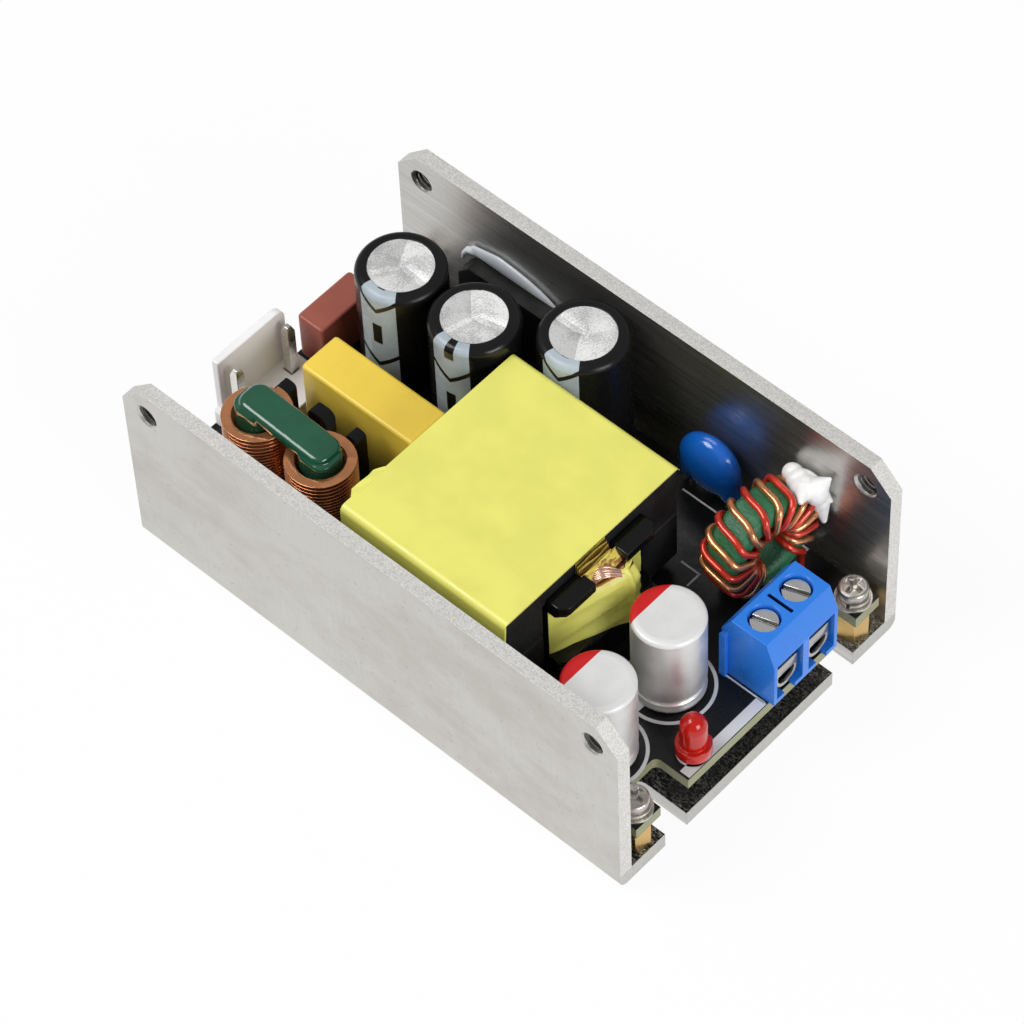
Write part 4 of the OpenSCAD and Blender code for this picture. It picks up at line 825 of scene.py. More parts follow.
def bobbin():
    """Winding former with a short rear flange and two raised tabs at its front."""
    bm = merged_copy("transformer_bobbin")
    low, high = box_mm("transformer_bobbin")
    wrap_low, wrap_high = box_mm("core_tape")
    middle = (low.y + high.y) / 2
    rear = wrap_low.x - FLANGE_BACK
    for vert in bm.verts:
        if vert.co.z > FLANGE_FOOT * MM and vert.co.x < rear * MM:
            vert.co.x = rear * MM
    soften(bm, BOBBIN_ROUND, 3)
    tab_runs = (low.y, middle - TAB_GAP_HALF, low.y), (middle + TAB_GAP_HALF, high.y, high.y)
    for start, end, outer in tab_runs:
        tab = block(
            Vector((wrap_high.x + 0.05, start, high.z - 0.4)),
            Vector((high.x + TAB_OUT, end, high.z + TAB_LIFT)),
        )
        clipped = uprights(tab, lambda x, y: x > high.x and abs(y - outer) < 0.01)
        round_edges(tab, clipped, TAB_CLIP, 1)
        soften(tab, BOBBIN_ROUND, 3)
        join(bm, tab)
    even_normals(stand_in("transformer_bobbin_soft", bm, "transformer_bobbin"))


BRIDGE_LIFT = 0.5


def bridge_body():
    """Bridge rectifier, its top a little higher than the solid's."""
    bm = merged_copy("bridge_rectifier")
    middle = centre_mm("bridge_rectifier").z
    for vert in bm.verts:
        if vert.co.z / MM > middle:
            vert.co.z += BRIDGE_LIFT * MM
    formed("bridge_rectifier_soft", bm, "bridge_rectifier", 0.2, 2, FINISHES["bridge"])


LAMP_FLANGE = 1.05
LAMP_STRETCH = 1.11
LAMP_DROP = 0.5


def lamp_lens():
    """Lamp lens, drawn up a little above its flange and down to the board below it."""
    bm = merged_copy("led_lens")
    foot = box_mm("led_lens")[0].z
    flange = foot + LAMP_FLANGE
    for vert in bm.verts:
        height = vert.co.z / MM
        if height > flange:
            vert.co.z = (flange + (height - flange) * LAMP_STRETCH) * MM
        elif height < foot + 0.2:
            vert.co.z -= LAMP_DROP * MM
    formed("led_lens_soft", bm, "led_lens", 0.12, 3)


HEADER_CORNER = 1.45


def inlet_header():
    """Header with a square corner at the near end of its wall."""
    bm = merged_copy("inlet_header")
    high = box_mm("inlet_header")[1]
    wall_end = min(vert.co.y for vert in bm.verts if vert.co.z > (high.z - 1.6) * MM)
    for vert in bm.verts:
        if vert.co.z > (high.z - HEADER_CORNER) * MM and vert.co.y < wall_end + HEADER_CORNER * MM:
            vert.co.y, vert.co.z = wall_end, high.z * MM
    bmesh.ops.remove_doubles(bm, verts=bm.verts, dist=1e-3 * MM)
    bmesh.ops.dissolve_degenerate(bm, dist=1e-3 * MM, edges=bm.edges)
    formed("inlet_header_soft", bm, "inlet_header", 0.2, 3)


bobbin()
bridge_body()
lamp_lens()
inlet_header()


COLLAR_TOP, COLLAR_FOOT, COLLAR_BORE = 2.0, 0.45, 1.3
COLLAR_GAP = 0.01
COLLAR_DEPTH = 1.04
COLLAR_STEPS = 48


def cage_collar(number):
    """Front of a clamp cage: a plate over the round seat that the wire goes into."""
    node = f"terminal_cage_{number}"
    low, high = box_mm(node)
    middle = (low.y + high.y) / 2
    outer = (high.y - low.y) / 2
    seat = low.z + outer
    bm = bmesh.new()
    rings = [], []
    for step in range(COLLAR_STEPS):
        turn = 2 * pi * (step + 0.5) / COLLAR_STEPS
        across, rise = cos(turn), sin(turn)
        far, near = outer, COLLAR_BORE
        if rise > 0:
            far = min(outer / max(abs(across), 1e-6), COLLAR_TOP / rise)
            near = min(COLLAR_BORE, COLLAR_FOOT / rise)
        for ring, reach in zip(rings, (far, near)):
            spot = mm(high.x + COLLAR_GAP, middle + reach * across, seat + reach * rise)
            ring.append(bm.verts.new(spot))
    for step in range(COLLAR_STEPS):
        after = (step + 1) % COLLAR_STEPS
        bm.faces.new((rings[0][step], rings[0][after], rings[1][after], rings[1][step]))
    grown = bmesh.ops.extrude_face_region(bm, geom=bm.faces[:])
    front = [part for part in grown["geom"] if isinstance(part, bmesh.types.BMVert)]
    bmesh.ops.translate(bm, verts=front, vec=mm(COLLAR_DEPTH, 0, 0))
    bmesh.ops.recalc_face_normals(bm, faces=bm.faces)
    soften(bm, 0.06, 2)
    even_normals(piece(f"cage_collar_{number}", bm, [CAGE_FINISH], BODY_OF[node]))


for number in (1, 2):
    cage_collar(number)


def spin_outline(bm, outline, x, y, steps):
    """Spin an outline of radii and heights once round an upright axis."""
    verts = [bm.verts.new(mm(x + reach, y, height)) for reach, height in outline]
    edges = [bm.edges.new(pair) for pair in zip(verts, verts[1:])]
    bmesh.ops.spin(
        bm, geom=[*verts, *edges], cent=mm(x, y, 0), axis=UP, dvec=(0, 0, 0), angle=2 * pi, steps=steps,
        use_merge=True,
    )


def arc(centre, radius, start, end, steps):
    """Points of an outline's rounded corner."""
    turns = [radians(start + (end - start) * step / steps) for step in range(steps + 1)]
    return [(centre[0] + radius * cos(turn), centre[1] + radius * sin(turn)) for turn in turns]


def output_can(number):
    """Crimped can: rounded foot, rolled groove, straight side and a shouldered top."""
    node = f"output_can_{number}"
    low, high = box_mm(node)
    reach = (high.x - low.x) / 2
    outline = [(0.0, low.z + 0.3), (reach - 1.0, low.z + 0.3)]
    outline += arc((reach - 0.6, low.z + 0.75), 0.6, -90, 35, 8)
    outline += arc((reach + 0.12, low.z + 1.95), 0.55, 240, 120, 8)
    outline += arc((reach - 0.45, low.z + 2.75), 0.45, -35, 0, 4)
    outline += arc((reach - 0.55, high.z - 0.6), 0.55, 0, 78, 8)
    outline += [(reach - 0.62, high.z - 0.045), (reach - 0.72, high.z - 0.01)]
    outline += [(reach - 0.95, high.z - 0.02), (0.0, high.z - 0.02)]
    middle = centre_mm(node)
    bm = bmesh.new()
    spin_outline(bm, outline, middle.x, middle.y, 72)
    closed_outward(bm)
    stand_in(f"{node}_formed", bm, node, output_can_finish(number), 32.0)


for number in (1, 2):
    output_can(number)


# Ring choke: two enamelled wires wound together round a coated core

RING_CENTRE = (23.46, 13.075, 15.1)
RING_YAW = radians(-6.4)
RING_MEAN_R = 4.8
RING_WIND_R = 1.67
RING_WIND_HALF = 2.57
TURN_STEP = 37.176
TURN_START = -52.0
POINTS_PER_TURN = 28
BORE_PULL = 0.6
RING_FOOT = 8.2


def soft(value):
    """A sine or cosine pressed towards a rounded square."""
    return copysign(sqrt(abs(value)), value)


def ring_wire_point(t, offset):
    """One point of a wound wire, in millimetres."""
    around = radians(TURN_START + TURN_STEP * (t + offset))
    inward = soft(cos(2 * pi * t))
    reach = RING_MEAN_R + RING_WIND_R * inward + BORE_PULL * min(0.0, inward)
    along = RING_WIND_HALF * soft(sin(2 * pi * t))
    side = reach * cos(around)
    x = RING_CENTRE[0] + along * cos(RING_YAW) - side * sin(RING_YAW)
    y = RING_CENTRE[1] + along * sin(RING_YAW) + side * cos(RING_YAW)
    return x, y, RING_CENTRE[2] + reach * sin(around)


def wind_ring_wire(node, offset, first, last, radius):
    """A wire wound round the ring, with its two ends led down to the board."""
    bm = below(node, RING_FOOT)
    steps = round((last - first) * POINTS_PER_TURN)
    path = [ring_wire_point(first + (last - first) * step / steps, offset) for step in range(steps + 1)]
    start, end = ((*spot[:2], RING_FOOT - 0.3) for spot in (path[0], path[-1]))
    lay_wire(bm, [start, *path, end], radius)
    stand_in(f"{node}_wound", bm, node, sharp=60.0)


wind_ring_wire("toroid_wire_red", 0.0, 0.12, 7.88, 0.40)
wind_ring_wire("toroid_wire_copper", 0.5, -0.12, 8.12, 0.40)


# Mains choke: flat wire wound on edge round two legs

COIL_STEPS = 36
COIL_LOW, COIL_HIGH = 12.1, 21.75
TIGHT_TURNS = 14
OPEN_TURNS = 4
OPEN_PITCH = 0.60
FLAT_WIDE, FLAT_THICK = 1.15, 0.28
CHOKE_LEAN = 0.06


def lean(bm):
    """Tip the upper bar of the choke core, whose outer end stands a little higher."""
    end = box_mm("choke_core")[1].x
    for vert in bm.verts:
        rise = (vert.co.z / MM - COIL_LOW) / (COIL_HIGH - COIL_LOW)
        if rise > 0:
            vert.co.z += CHOKE_LEAN * (end * MM - vert.co.x) * min(1.0, rise)


def wind_coil(node, turn):
    """A coil of flat wire, tight below and a little open in its top turns."""
    low, high = box_mm(node)
    middle = centre_mm(node)
    outer = (high.x - low.x) / 2
    wide, thick = FLAT_WIDE, FLAT_THICK
    tight_pitch = (COIL_HIGH - COIL_LOW - thick - OPEN_TURNS * OPEN_PITCH) / TIGHT_TURNS
    bm = bmesh.new()
    place = (
        Matrix.Translation(mm(outer - wide / 2, 0, 0))
        @ Matrix.Rotation(pi / 2, 4, "X")
        @ Matrix.Diagonal((wide * MM, thick * MM, 1.0, 1.0))
    )
    bmesh.ops.create_grid(bm, x_segments=1, y_segments=1, size=0.5, matrix=place)
    bmesh.ops.bevel(
        bm, geom=bm.verts[:], offset=0.07 * MM, offset_type="OFFSET", segments=2, profile=0.5,
        affect="VERTICES", material=-1,
    )
    bmesh.ops.rotate(bm, verts=bm.verts, cent=(0, 0, 0), matrix=Matrix.Rotation(radians(turn), 3, "Z"))
    bmesh.ops.translate(bm, verts=bm.verts, vec=mm(middle.x, middle.y, COIL_LOW + thick / 2))
    geom = everything(bm)
    for turns, pitch in ((TIGHT_TURNS, tight_pitch), (OPEN_TURNS, OPEN_PITCH)):
        spun = bmesh.ops.spin(
            bm, geom=geom, cent=mm(middle.x, middle.y, 0), axis=UP, dvec=mm(0, 0, pitch / COIL_STEPS),
            angle=2 * pi * turns, steps=turns * COIL_STEPS,
        )
        geom = spun["geom_last"]
    closed_outward(bm)
    legs = below(node, COIL_LOW + 0.01)
    join(bm, legs)
    stand_in(f"{node}_wound", bm, node, sharp=40.0)


wind_coil("choke_coil_1", 100.0)
wind_coil("choke_coil_2", 40.0)


# Dipped and poured pieces

def lump(bm, centre, radii):
    """A round or egg-shaped lump."""
    place = Matrix.Translation(mm(*centre)) @ Matrix.Diagonal((*mm(*radii), 1.0))
    bmesh.ops.create_uvsphere(bm, u_segments=28, v_segments=18, radius=1.0, matrix=place)


def taper(bm, start, start_r, end, end_r):
    """A tapered lump between two points."""
    first, last = mm(*start), mm(*end)
    turn = (last - first).to_track_quat("Z", "Y").to_matrix().to_4x4()
    place = Matrix.Translation((first + last) / 2) @ turn
    bmesh.ops.create_cone(
        bm, cap_ends=True, segments=24, radius1=start_r * MM, radius2=end_r * MM,
        depth=(last - first).length, matrix=place,
    )
    lump(bm, end, (end_r, end_r, end_r))


def melted(name, bm, voxel, rounds, node, finish=None):
    """Melt overlapping lumps into one smooth body that stands for a solid."""
    obj = stand_in(name, bm, node, finish, 180.0)
    melt = obj.modifiers.new("melt", "REMESH")
    melt.mode = "VOXEL"
    melt.voxel_size = voxel * MM
    melt.use_smooth_shade = True
    settle = obj.modifiers.new("settle", "SMOOTH")
    settle.factor = 0.5
    settle.iterations = rounds


def disc_body():
    """Dipped disc capacitor: a fat lens drawn out into two coated legs."""
    low, high = box_mm("disc_capacitor")
    mid = centre_mm("disc_capacitor")
    legs = centre_mm("disc_leads")
    leads_low, leads_high = box_mm("disc_leads")
    radius = (high.x - low.x) / 2
    middle_z = high.z - radius
    bm = bmesh.new()
    lump(bm, (mid.x, mid.y, middle_z), (radius + 0.15, 2.0, radius + 0.15))
    for x, inward in ((leads_low.x + 0.3, 0.9), (leads_high.x - 0.3, -0.9)):
        lump(bm, (x + inward, legs.y, middle_z - 1.6), (1.6, 1.45, 1.9))
        lump(bm, (x + inward * 0.55, legs.y, middle_z - 2.7), (1.25, 1.2, 1.7))
        taper(bm, (x + inward * 0.5, legs.y, middle_z - 2.8), 1.05, (x, legs.y, low.z + 0.6), 0.6)
    melted("disc_capacitor_dipped", bm, 0.14, 40, "disc_capacitor")


GLUE_LUMPS = (
    ((22.85, 19.25, 19.4), (1.3, 1.15, 1.3)),
    ((23.9, 18.9, 19.5), (1.4, 1.4, 1.4)),
    ((25.0, 18.5, 19.7), (1.6, 1.6, 1.3)),
    ((26.2, 19.0, 19.5), (1.35, 1.4, 1.8)),
    ((26.35, 19.4, 17.8), (1.15, 1.05, 1.8)),
    ((24.8, 19.9, 18.4), (2.4, 0.7, 2.2)),
)
GLUE_TAILS = (
    ((25.3, 18.0, 19.9), 1.2, (26.15, 16.5, 20.3), 0.42),
    ((26.2, 19.3, 19.9), 1.3, (27.25, 19.9, 21.7), 0.24),
    ((26.3, 19.6, 18.6), 1.1, (27.45, 20.0, 17.9), 0.24),
    ((26.45, 19.5, 17.2), 1.05, (26.95, 19.5, 14.6), 0.38),
)


def glue_body():
    """Silicone dab between the ring choke and the wall, drawn into tails as it was laid."""
    bm = bmesh.new()
    for centre, radii in GLUE_LUMPS:
        lump(bm, centre, radii)
    for tail in GLUE_TAILS:
        taper(bm, *tail)
    melted("glue_bead_poured", bm, 0.12, 5, "glue_bead")


PASTE_RUN = (-23.6, -11.8)
PASTE_STEPS = 48
PASTE_TAIL = (
    ((-23.5, 20.1, 18.55), 0.52),
    ((-24.5, 20.1, 18.0), 0.42),
    ((-25.2, 20.1, 16.9), 0.30),
    ((-25.4, 20.1, 15.9), 0.20),
)


def compound_bead():
    """Heat paste squeezed up behind the bridge, thin at both ends, with a tongue over its corner."""
    low, high = box_mm("thermal_compound")
    bm = block(low + Vector((0.5, 0, 0)), high - Vector((0.5, 0, 0.6)))
    start, end = PASTE_RUN
    for step in range(PASTE_STEPS):
        share = step / (PASTE_STEPS - 1)
        rise = 2.0 * min(1.0, 0.5 + 1.6 * share) * (1 - share ** 3) ** 0.8
        x = start + (end - start) * share
        lump(bm, (x, 20.12, 18.1 + rise / 2), (0.5, 0.2 + 0.12 * rise, 0.22 + rise / 2))
    for (start, start_r), (end, end_r) in zip(PASTE_TAIL, PASTE_TAIL[1:]):
        taper(bm, start, start_r, end, end_r)
    melted("thermal_compound_bead", bm, 0.1, 10, "thermal_compound", FINISHES["compound"])


CHOKE_LEG = Vector((2.2, 2.05, 0))
BAR_LIFT = 0.35
BAR_CORNER = 1.5


def dipped_block(low, high, corner, edge):
    """A box with round corners in plan and its coating soft over the other edges."""
    bm = block(low, high)
    round_edges(bm, uprights(bm), corner, 8)
    soften(bm, edge, 5, 50.0)
    return bm


def choke_bar():
    """Dipped choke core: two round-ended bars over the legs that the coils are wound on."""
    low, high = box_mm("choke_core")
    bm = bmesh.new()
    for foot, head in ((low.z, COIL_LOW), (COIL_HIGH, high.z + BAR_LIFT)):
        corners = Vector((low.x, low.y, foot)), Vector((high.x, high.y, head))
        join(bm, dipped_block(*corners, BAR_CORNER, 0.7))
    for number in (1, 2):
        spot = centre_mm(f"choke_coil_{number}")
        foot, head = (Vector((spot.x, spot.y, level)) for level in (COIL_LOW - 1.5, COIL_HIGH + 0.9))
        join(bm, dipped_block(foot - CHOKE_LEG, head + CHOKE_LEG, BAR_CORNER, 0.3))
    lean(bm)
    melted("choke_core_dipped", bm, 0.12, 10, "choke_core")


CHOKE_PLATE_T = 1.5
POST_FRONT = -8.2
CHOKE_POSTS = ((-26.75, 1.75, 1.7, 19.4), (-21.8, 2.7, 1.5, 19.7), (-16.1, 1.6, 1.5, 20.0))


def choke_stand():
    """Base of the choke: its plate and the three posts that stand behind the coils."""
    low = box_mm("choke_base")[0]
    bm = below("choke_base", low.z + CHOKE_PLATE_T)
    for left, wide, deep, top in CHOKE_POSTS:
        foot = Vector((left, POST_FRONT, low.z + CHOKE_PLATE_T / 2))
        post = block(foot, Vector((left + wide, POST_FRONT + deep, top)))
        ridges = []
        for edge in post.edges:
            a, b = (vert.co / MM for vert in edge.verts)
            if min(a.z, b.z) > top - 0.01 and abs(a.x - b.x) < 0.01:
                ridges.append(edge)
        round_edges(post, ridges, 0.35 * wide, 5)
        join(bm, post)
    formed("choke_base_posts", bm, "choke_base", 0.15)


disc_body()
glue_body()
compound_bead()
choke_bar()
choke_stand()


# Pressed round tops: the vents of the bulk cans and the recesses of the board screws

def pressed_top(bm, middle, outline, rings, steps, press):
    """Add a spun body whose flat top is pressed down by a depth that varies over it."""
    first = len(bm.verts)
    reach, top = outline[0]
    flat = [(reach * ring / rings, top) for ring in range(rings)]
    spin_outline(bm, flat + outline, *middle, steps)
    bm.verts.ensure_lookup_table()
    for vert in bm.verts[first:]:
        x, y, z = vert.co / MM
        if z > top - 1e-4:
            vert.co.z -= press(x - middle[0], y - middle[1]) * MM


CAN_END_R = 3.66
CAN_END_LIFT, CAN_END_SUNK = 0.16, 0.3
CAN_END_RINGS, CAN_END_STEPS = 40, 360
VENT_SHOULDER = 1.1
VENT_LINE = 0.16
VALLEY_DEPTH, LINE_DEPTH = 0.26, 0.32
BRIGHT_HEADING = 41.7


def can_end(number, vent_turn):
    """The pressed end of one can: three vent lines, each down in a soft valley."""
    high = box_mm(f"bulk_can_{number}")[1]
    middle = centre_mm(f"bulk_can_{number}")

    def press(x, y):
        depth = 0.0
        for third in range(3):
            turn = radians(vent_turn + 120 * third)
            along = x * cos(turn) + y * sin(turn)
            aside = abs(y * cos(turn) - x * sin(turn))
            if along < 0:
                aside = sqrt(x * x + y * y)
            valley = VALLEY_DEPTH * max(0.0, 1 - aside / VENT_SHOULDER) ** 1.3
            line = LINE_DEPTH * max(0.0, 1 - aside / VENT_LINE)
            depth = max(depth, valley + line)
        return depth

    bm = bmesh.new()
    top, foot = high.z + CAN_END_LIFT, high.z - CAN_END_SUNK
    outline = [(CAN_END_R, top), (CAN_END_R, foot), (0.0, foot)]
    pressed_top(bm, (middle.x, middle.y), outline, CAN_END_RINGS, CAN_END_STEPS, press)
    closed_outward(bm)
    # Painted light: the sector that faces nearest the bright heading gets the lightest copy of the
    # finish.
    lit = sorted(range(3), key=lambda third: cos(radians(vent_turn + 60 + 120 * third - BRIGHT_HEADING)))
    for face in bm.faces:
        spot = face.calc_center_median() / MM - middle
        turn = degrees(atan2(spot.y, spot.x)) - vent_turn
        face.material_index = lit.index(int(turn % 360 // 120))
    piece(f"bulk_can_end_{number}", bm, SECTOR_FINISHES, sharp=40.0)


for number, vent_turn in ((1, -4.0), (2, 13.0), (3, 61.0)):
    can_end(number, vent_turn)


SCREW_HEAD_R = 1.7
SCREW_FLAT_R = 1.25
CROSS_HALF = 0.30
CROSS_REACH = 1.12
CROSS_DEPTH = 0.85
CROSS_SLOPE = 0.06
HEAD_DOME = 0.10
SCREW_RINGS, SCREW_STEPS = 26, 96


def cross_press(x, y):
    """Depth of a cross recess under a slightly domed head."""
    near, far = sorted((abs(x), abs(y)))
    dome = HEAD_DOME * (x * x + y * y)
    wall = min(1.0, max(0.0, (CROSS_HALF - near) / CROSS_SLOPE))
    if far > CROSS_REACH:
        return dome
    return dome + wall * CROSS_DEPTH * (1 - 0.55 * far / CROSS_REACH)


def board_screws():
    """Pan head screws with cross recesses, over their plain shanks."""
    high = box_mm("board_screws")[1]
    seat = box_mm("spring_washers")[1].z
    bm = below("board_screws", seat)
    out_x, out_y = high.x - SCREW_HEAD_R, high.y - SCREW_HEAD_R
    for x in (-out_x, out_x):
        for y in (-out_y, out_y):
            outline = [(SCREW_FLAT_R, high.z)]
            outline += arc((SCREW_HEAD_R - 0.4, high.z - 0.55), 0.4, 80, 0, 6)
            outline += [(SCREW_HEAD_R, seat + 0.12), (SCREW_HEAD_R - 0.12, seat), (0.0, seat)]
            pressed_top(bm, (x, y), outline, SCREW_RINGS, SCREW_STEPS, cross_press)
    closed_outward(bm)
    stand_in("board_screws_headed", bm, "board_screws", sharp=40.0)


board_screws()


# Transformer: wrapped tape, bowed winding cover and the strands at its top

WRAP_ROUND = 0.8
WRAP_STEP = 0.9
WRAP_STEP_DROP = 1.2


def core_wrap():
    """Tape wrapped round the core, rounded where it turns over the long edges."""
    bm = merged_copy("core_tape")
    low, high = box_mm("core_tape")
    corners = []
    for edge in bm.edges:
        a, b = (vert.co / MM for vert in edge.verts)
        along_x = abs(a.x - b.x) > 5
        at_side = min(abs(a.y - low.y), abs(a.y - high.y)) < 0.01
        at_level = min(abs(a.z - low.z), abs(a.z - high.z)) < 0.01
        if along_x and at_side and at_level:
            corners.append(edge)
    bmesh.ops.bevel(
        bm, geom=corners, offset=WRAP_ROUND * MM, offset_type="OFFSET", segments=6, profile=0.5,
        affect="EDGES", material=-1,
    )
    half_way = (low + high) / 2
    slice_across(bm, (0, 0, high.z - WRAP_STEP_DROP), UP)
    for vert in bm.verts:
        x, y, z = vert.co / MM
        turned_away = y > half_way.y or z < half_way.z
        if x > high.x - 0.01 and z < high.z - WRAP_STEP_DROP + 0.1 and turned_away:
            vert.co.x -= WRAP_STEP * MM
    even_normals(stand_in("core_tape_wrap", bm, "core_tape"))


def thin_sheet(bm, rows, columns, thickness, place):
    """Add a sheet placed by shares across and along it. It is thickened along z, so an upright
    sheet keeps no thickness across."""
    sheet = bmesh.new()
    bmesh.ops.create_grid(sheet, x_segments=rows, y_segments=columns, size=0.5)
    for vert in sheet.verts:
        vert.co = mm(*place(vert.co.x + 0.5, vert.co.y + 0.5))
    bmesh.ops.solidify(sheet, geom=everything(sheet), thickness=thickness * MM)
    closed_outward(sheet)
    join(bm, sheet)


def tape_overhang():
    """Loose end of the core's tape, standing a little past its rear edge and crumpled."""
    low, high = box_mm("core_tape")

    def place(across, along):
        reach = 0.7 * min(1.0, 6 * along, 5 * (1 - along)) * (0.9 + 0.1 * sin(along * 9))
        crumple = 0.09 * sin(along * 11 + across * 3) * across
        return low.x + 0.3 - (0.3 + reach) * across, -16.4 + 5.2 * along, high.z + 0.03 + crumple

    bm = bmesh.new()
    thin_sheet(bm, 6, 24, 0.06, place)
    piece("core_tape_end", bm, [FINISHES["yellow_tape"]], sharp=50.0)


TAPE_LOW, TAPE_HIGH = box_mm("winding_tape")
TAPE_MIDDLE = centre_mm("winding_tape").y
CORE_END = box_mm("core_tape")[1].x
COVER_ROWS, COVER_COLUMNS = 14, 56
WOUND_COLUMNS = 24
WOUND_INSET = 0.5
PLEAT_AT = 1.9
COVER_RUN = ((-7.15, 0.012), (PLEAT_AT, 0.875), (3.3, 0.80), (4.3, 0.12), (7.15, 0.03))
BOW_OUT = 3.9


def cover_reach(side):
    """How far the pulled cover stands out at one place across, as a share of the full bulge."""
    for (start, low), (end, high) in zip(COVER_RUN, COVER_RUN[1:]):
        if side <= end:
            return low + (high - low) * (side - start) / (end - start)
    return COVER_RUN[-1][1]


def swept_in(bm, columns):
    """Slice a bowed end into columns and pull it into a straight run that turns back past its middle."""
    half = (TAPE_HIGH.y - TAPE_LOW.y) / 2
    bulge = TAPE_HIGH.x - CORE_END
    radius = (half * half + BOW_OUT * BOW_OUT) / (2 * BOW_OUT)
    for column in range(1, columns):
        slice_across(bm, (0, TAPE_LOW.y + 2 * half * column / columns, 0), (0, 1, 0))
    for vert in bm.verts:
        x, y = vert.co.xy / MM
        if x < CORE_END:
            continue
        side = min(half, max(-half, y - TAPE_MIDDLE))
        bowed = (bulge - radius + sqrt(radius * radius - side * side)) / bulge
        vert.co.x = (CORE_END + (x - CORE_END) * cover_reach(side) / bowed) * MM


def winding_cover():
    """Tape round the winding: pulled tight from its near end, creased and folded in at the top."""
    bm = merged_copy("winding_tape")
    tall = TAPE_HIGH.z - TAPE_LOW.z
    for row in range(1, COVER_ROWS):
        slice_across(bm, (0, 0, TAPE_LOW.z + tall * row / COVER_ROWS), UP)
    swept_in(bm, COVER_COLUMNS)
    for vert in bm.verts:
        x, y, z = vert.co / MM
        out = min(1.0, max(0.0, (x - CORE_END) / 1.2))
        up = (z - TAPE_LOW.z) / tall
        side = y - TAPE_MIDDLE
        swoosh = noise.noise(Vector((side * 0.12, z * 0.85 - side * 0.30, 3.7))) * 0.55
        crease = max(0.0, noise.noise(Vector((side * 0.3 + z * 0.5, z * 0.12, 8.1)))) * 0.25
        pleat = 0.30 * max(0.0, 1 - abs(side - PLEAT_AT) / 0.4) * min(1.0, 1.6 - up)
        fold = (0.45 + 0.2 * min(4.5, max(0.0, side + 2))) * max(0.0, up - 0.80) ** 2 / 0.04
        sag = 0.30 * sin(side * 0.6) - 0.25 * abs(side) / 6.0
        vert.co.x += (swoosh + crease + pleat - fold) * out * MM
        vert.co.z += sag * out * max(0.0, up - 0.5) * 2 * MM
    bmesh.ops.recalc_face_normals(bm, faces=bm.faces)
    for face in bm.faces:
        if face.normal.y < -0.9 and face.calc_center_median().y < (TAPE_LOW.y + 0.02) * MM:
            face.material_index = 1
    finishes = [FINISHES["yellow_tape"], FINISHES["ferrite"]]
    piece("winding_tape_cover", bm, finishes, "chassis", ["winding_tape"], 50.0)


def winding_body():
    """The copper winding, pulled in with its cover and kept a little inside it."""
    bm = merged_copy("transformer_winding")
    swept_in(bm, WOUND_COLUMNS)
    for vert in bm.verts:
        if vert.co.x > CORE_END * MM:
            vert.co.x = max(CORE_END, vert.co.x / MM - WOUND_INSET) * MM
    bmesh.ops.recalc_face_normals(bm, faces=bm.faces)
    stand_in("transformer_winding_wound", bm, "transformer_winding", sharp=40.0)


LAYER_FOOT = 21.0
LAYER_STACK = (
    (15.98, 24.75), (16.10, 24.60), (16.22, 24.45), (16.34, 24.25),
    (16.48, 24.0), (16.60, 23.7), (16.74, 23.4),
)


def upright_layer(bm, x, top, turn):
    """A thin layer of insulation standing on edge in the gap between the flange tabs."""
    middle = centre_mm("transformer_winding").y

    def place(up, share):
        along = share - 0.5
        wave = 0.05 * sin(along * 7 + turn * 1.7)
        slant = 0.12 * sin(along * 5 + turn)
        return x + wave, middle - 0.55 + along * 4.6, LAYER_FOOT + (top + slant - LAYER_FOOT) * up

    thin_sheet(bm, 4, 20, 0.09, place)


def winding_layers():
    """Edges of the winding's insulation, amber between yellow, and the sheet folded over them."""
    for name, finish, offset in (("yellow", FINISHES["yellow_tape"], 0), ("amber", AMBER_FINISH, 1)):
        bm = bmesh.new()
        for index in range(offset, len(LAYER_STACK), 2):
            upright_layer(bm, *LAYER_STACK[index], index)
        piece(f"winding_layers_{name}", bm, [finish], sharp=50.0)
    middle = centre_mm("transformer_winding").y

    def place(across, share):
        along = share - 0.5
        fall = 23.2 - 1.5 * across ** 0.8 + 0.08 * sin(along * 8 + across * 5)
        return 16.80 + 1.0 * across, middle + 0.1 + along * 4.7, fall

    bm = bmesh.new()
    thin_sheet(bm, 8, 16, 0.08, place)
    piece("winding_layer_folded", bm, [LAYER_FINISH], sharp=50.0)


STRAND_START = Vector((16.75, -6.6, 21.75))
STRAND_END = Vector((18.75, -3.5, 21.75))
STRAND_R = 0.14
STRAND_COUNT = 9
STRAND_STEPS = 24
STRAND_GAP = 0.15
STRAND_ARCH = 0.95


def winding_strands():
    """A flat bundle of bare strands that arches up out of the winding and back under its cover."""
    bm = bmesh.new()
    aside = (STRAND_END - STRAND_START).cross(UP).normalized()
    for strand in range(STRAND_COUNT):
        shift = (strand - (STRAND_COUNT - 1) / 2) * STRAND_GAP
        path = []
        for step in range(STRAND_STEPS + 1):
            share = step / STRAND_STEPS
            arch = sin(pi * share)
            spot = STRAND_START.lerp(STRAND_END, share) + aside * shift * (0.6 + 0.5 * arch)
            spot.z += STRAND_ARCH * arch - 0.3 * shift * shift + 0.05 * sin(strand * 2.3)
            path.append(spot)
        lay_wire(bm, path, STRAND_R, 3)
    piece("winding_strands", bm, [STRAND_FINISH], sharp=60.0)


core_wrap()
tape_overhang()
winding_cover()
winding_body()
winding_layers()
winding_strands()


# Print on the board: outlines and the edge stripe, as a thin raised layer

BOARD_TOP = box_mm("circuit_board")[1].z
PRINT_LOW, PRINT_HIGH = -0.02, 0.03


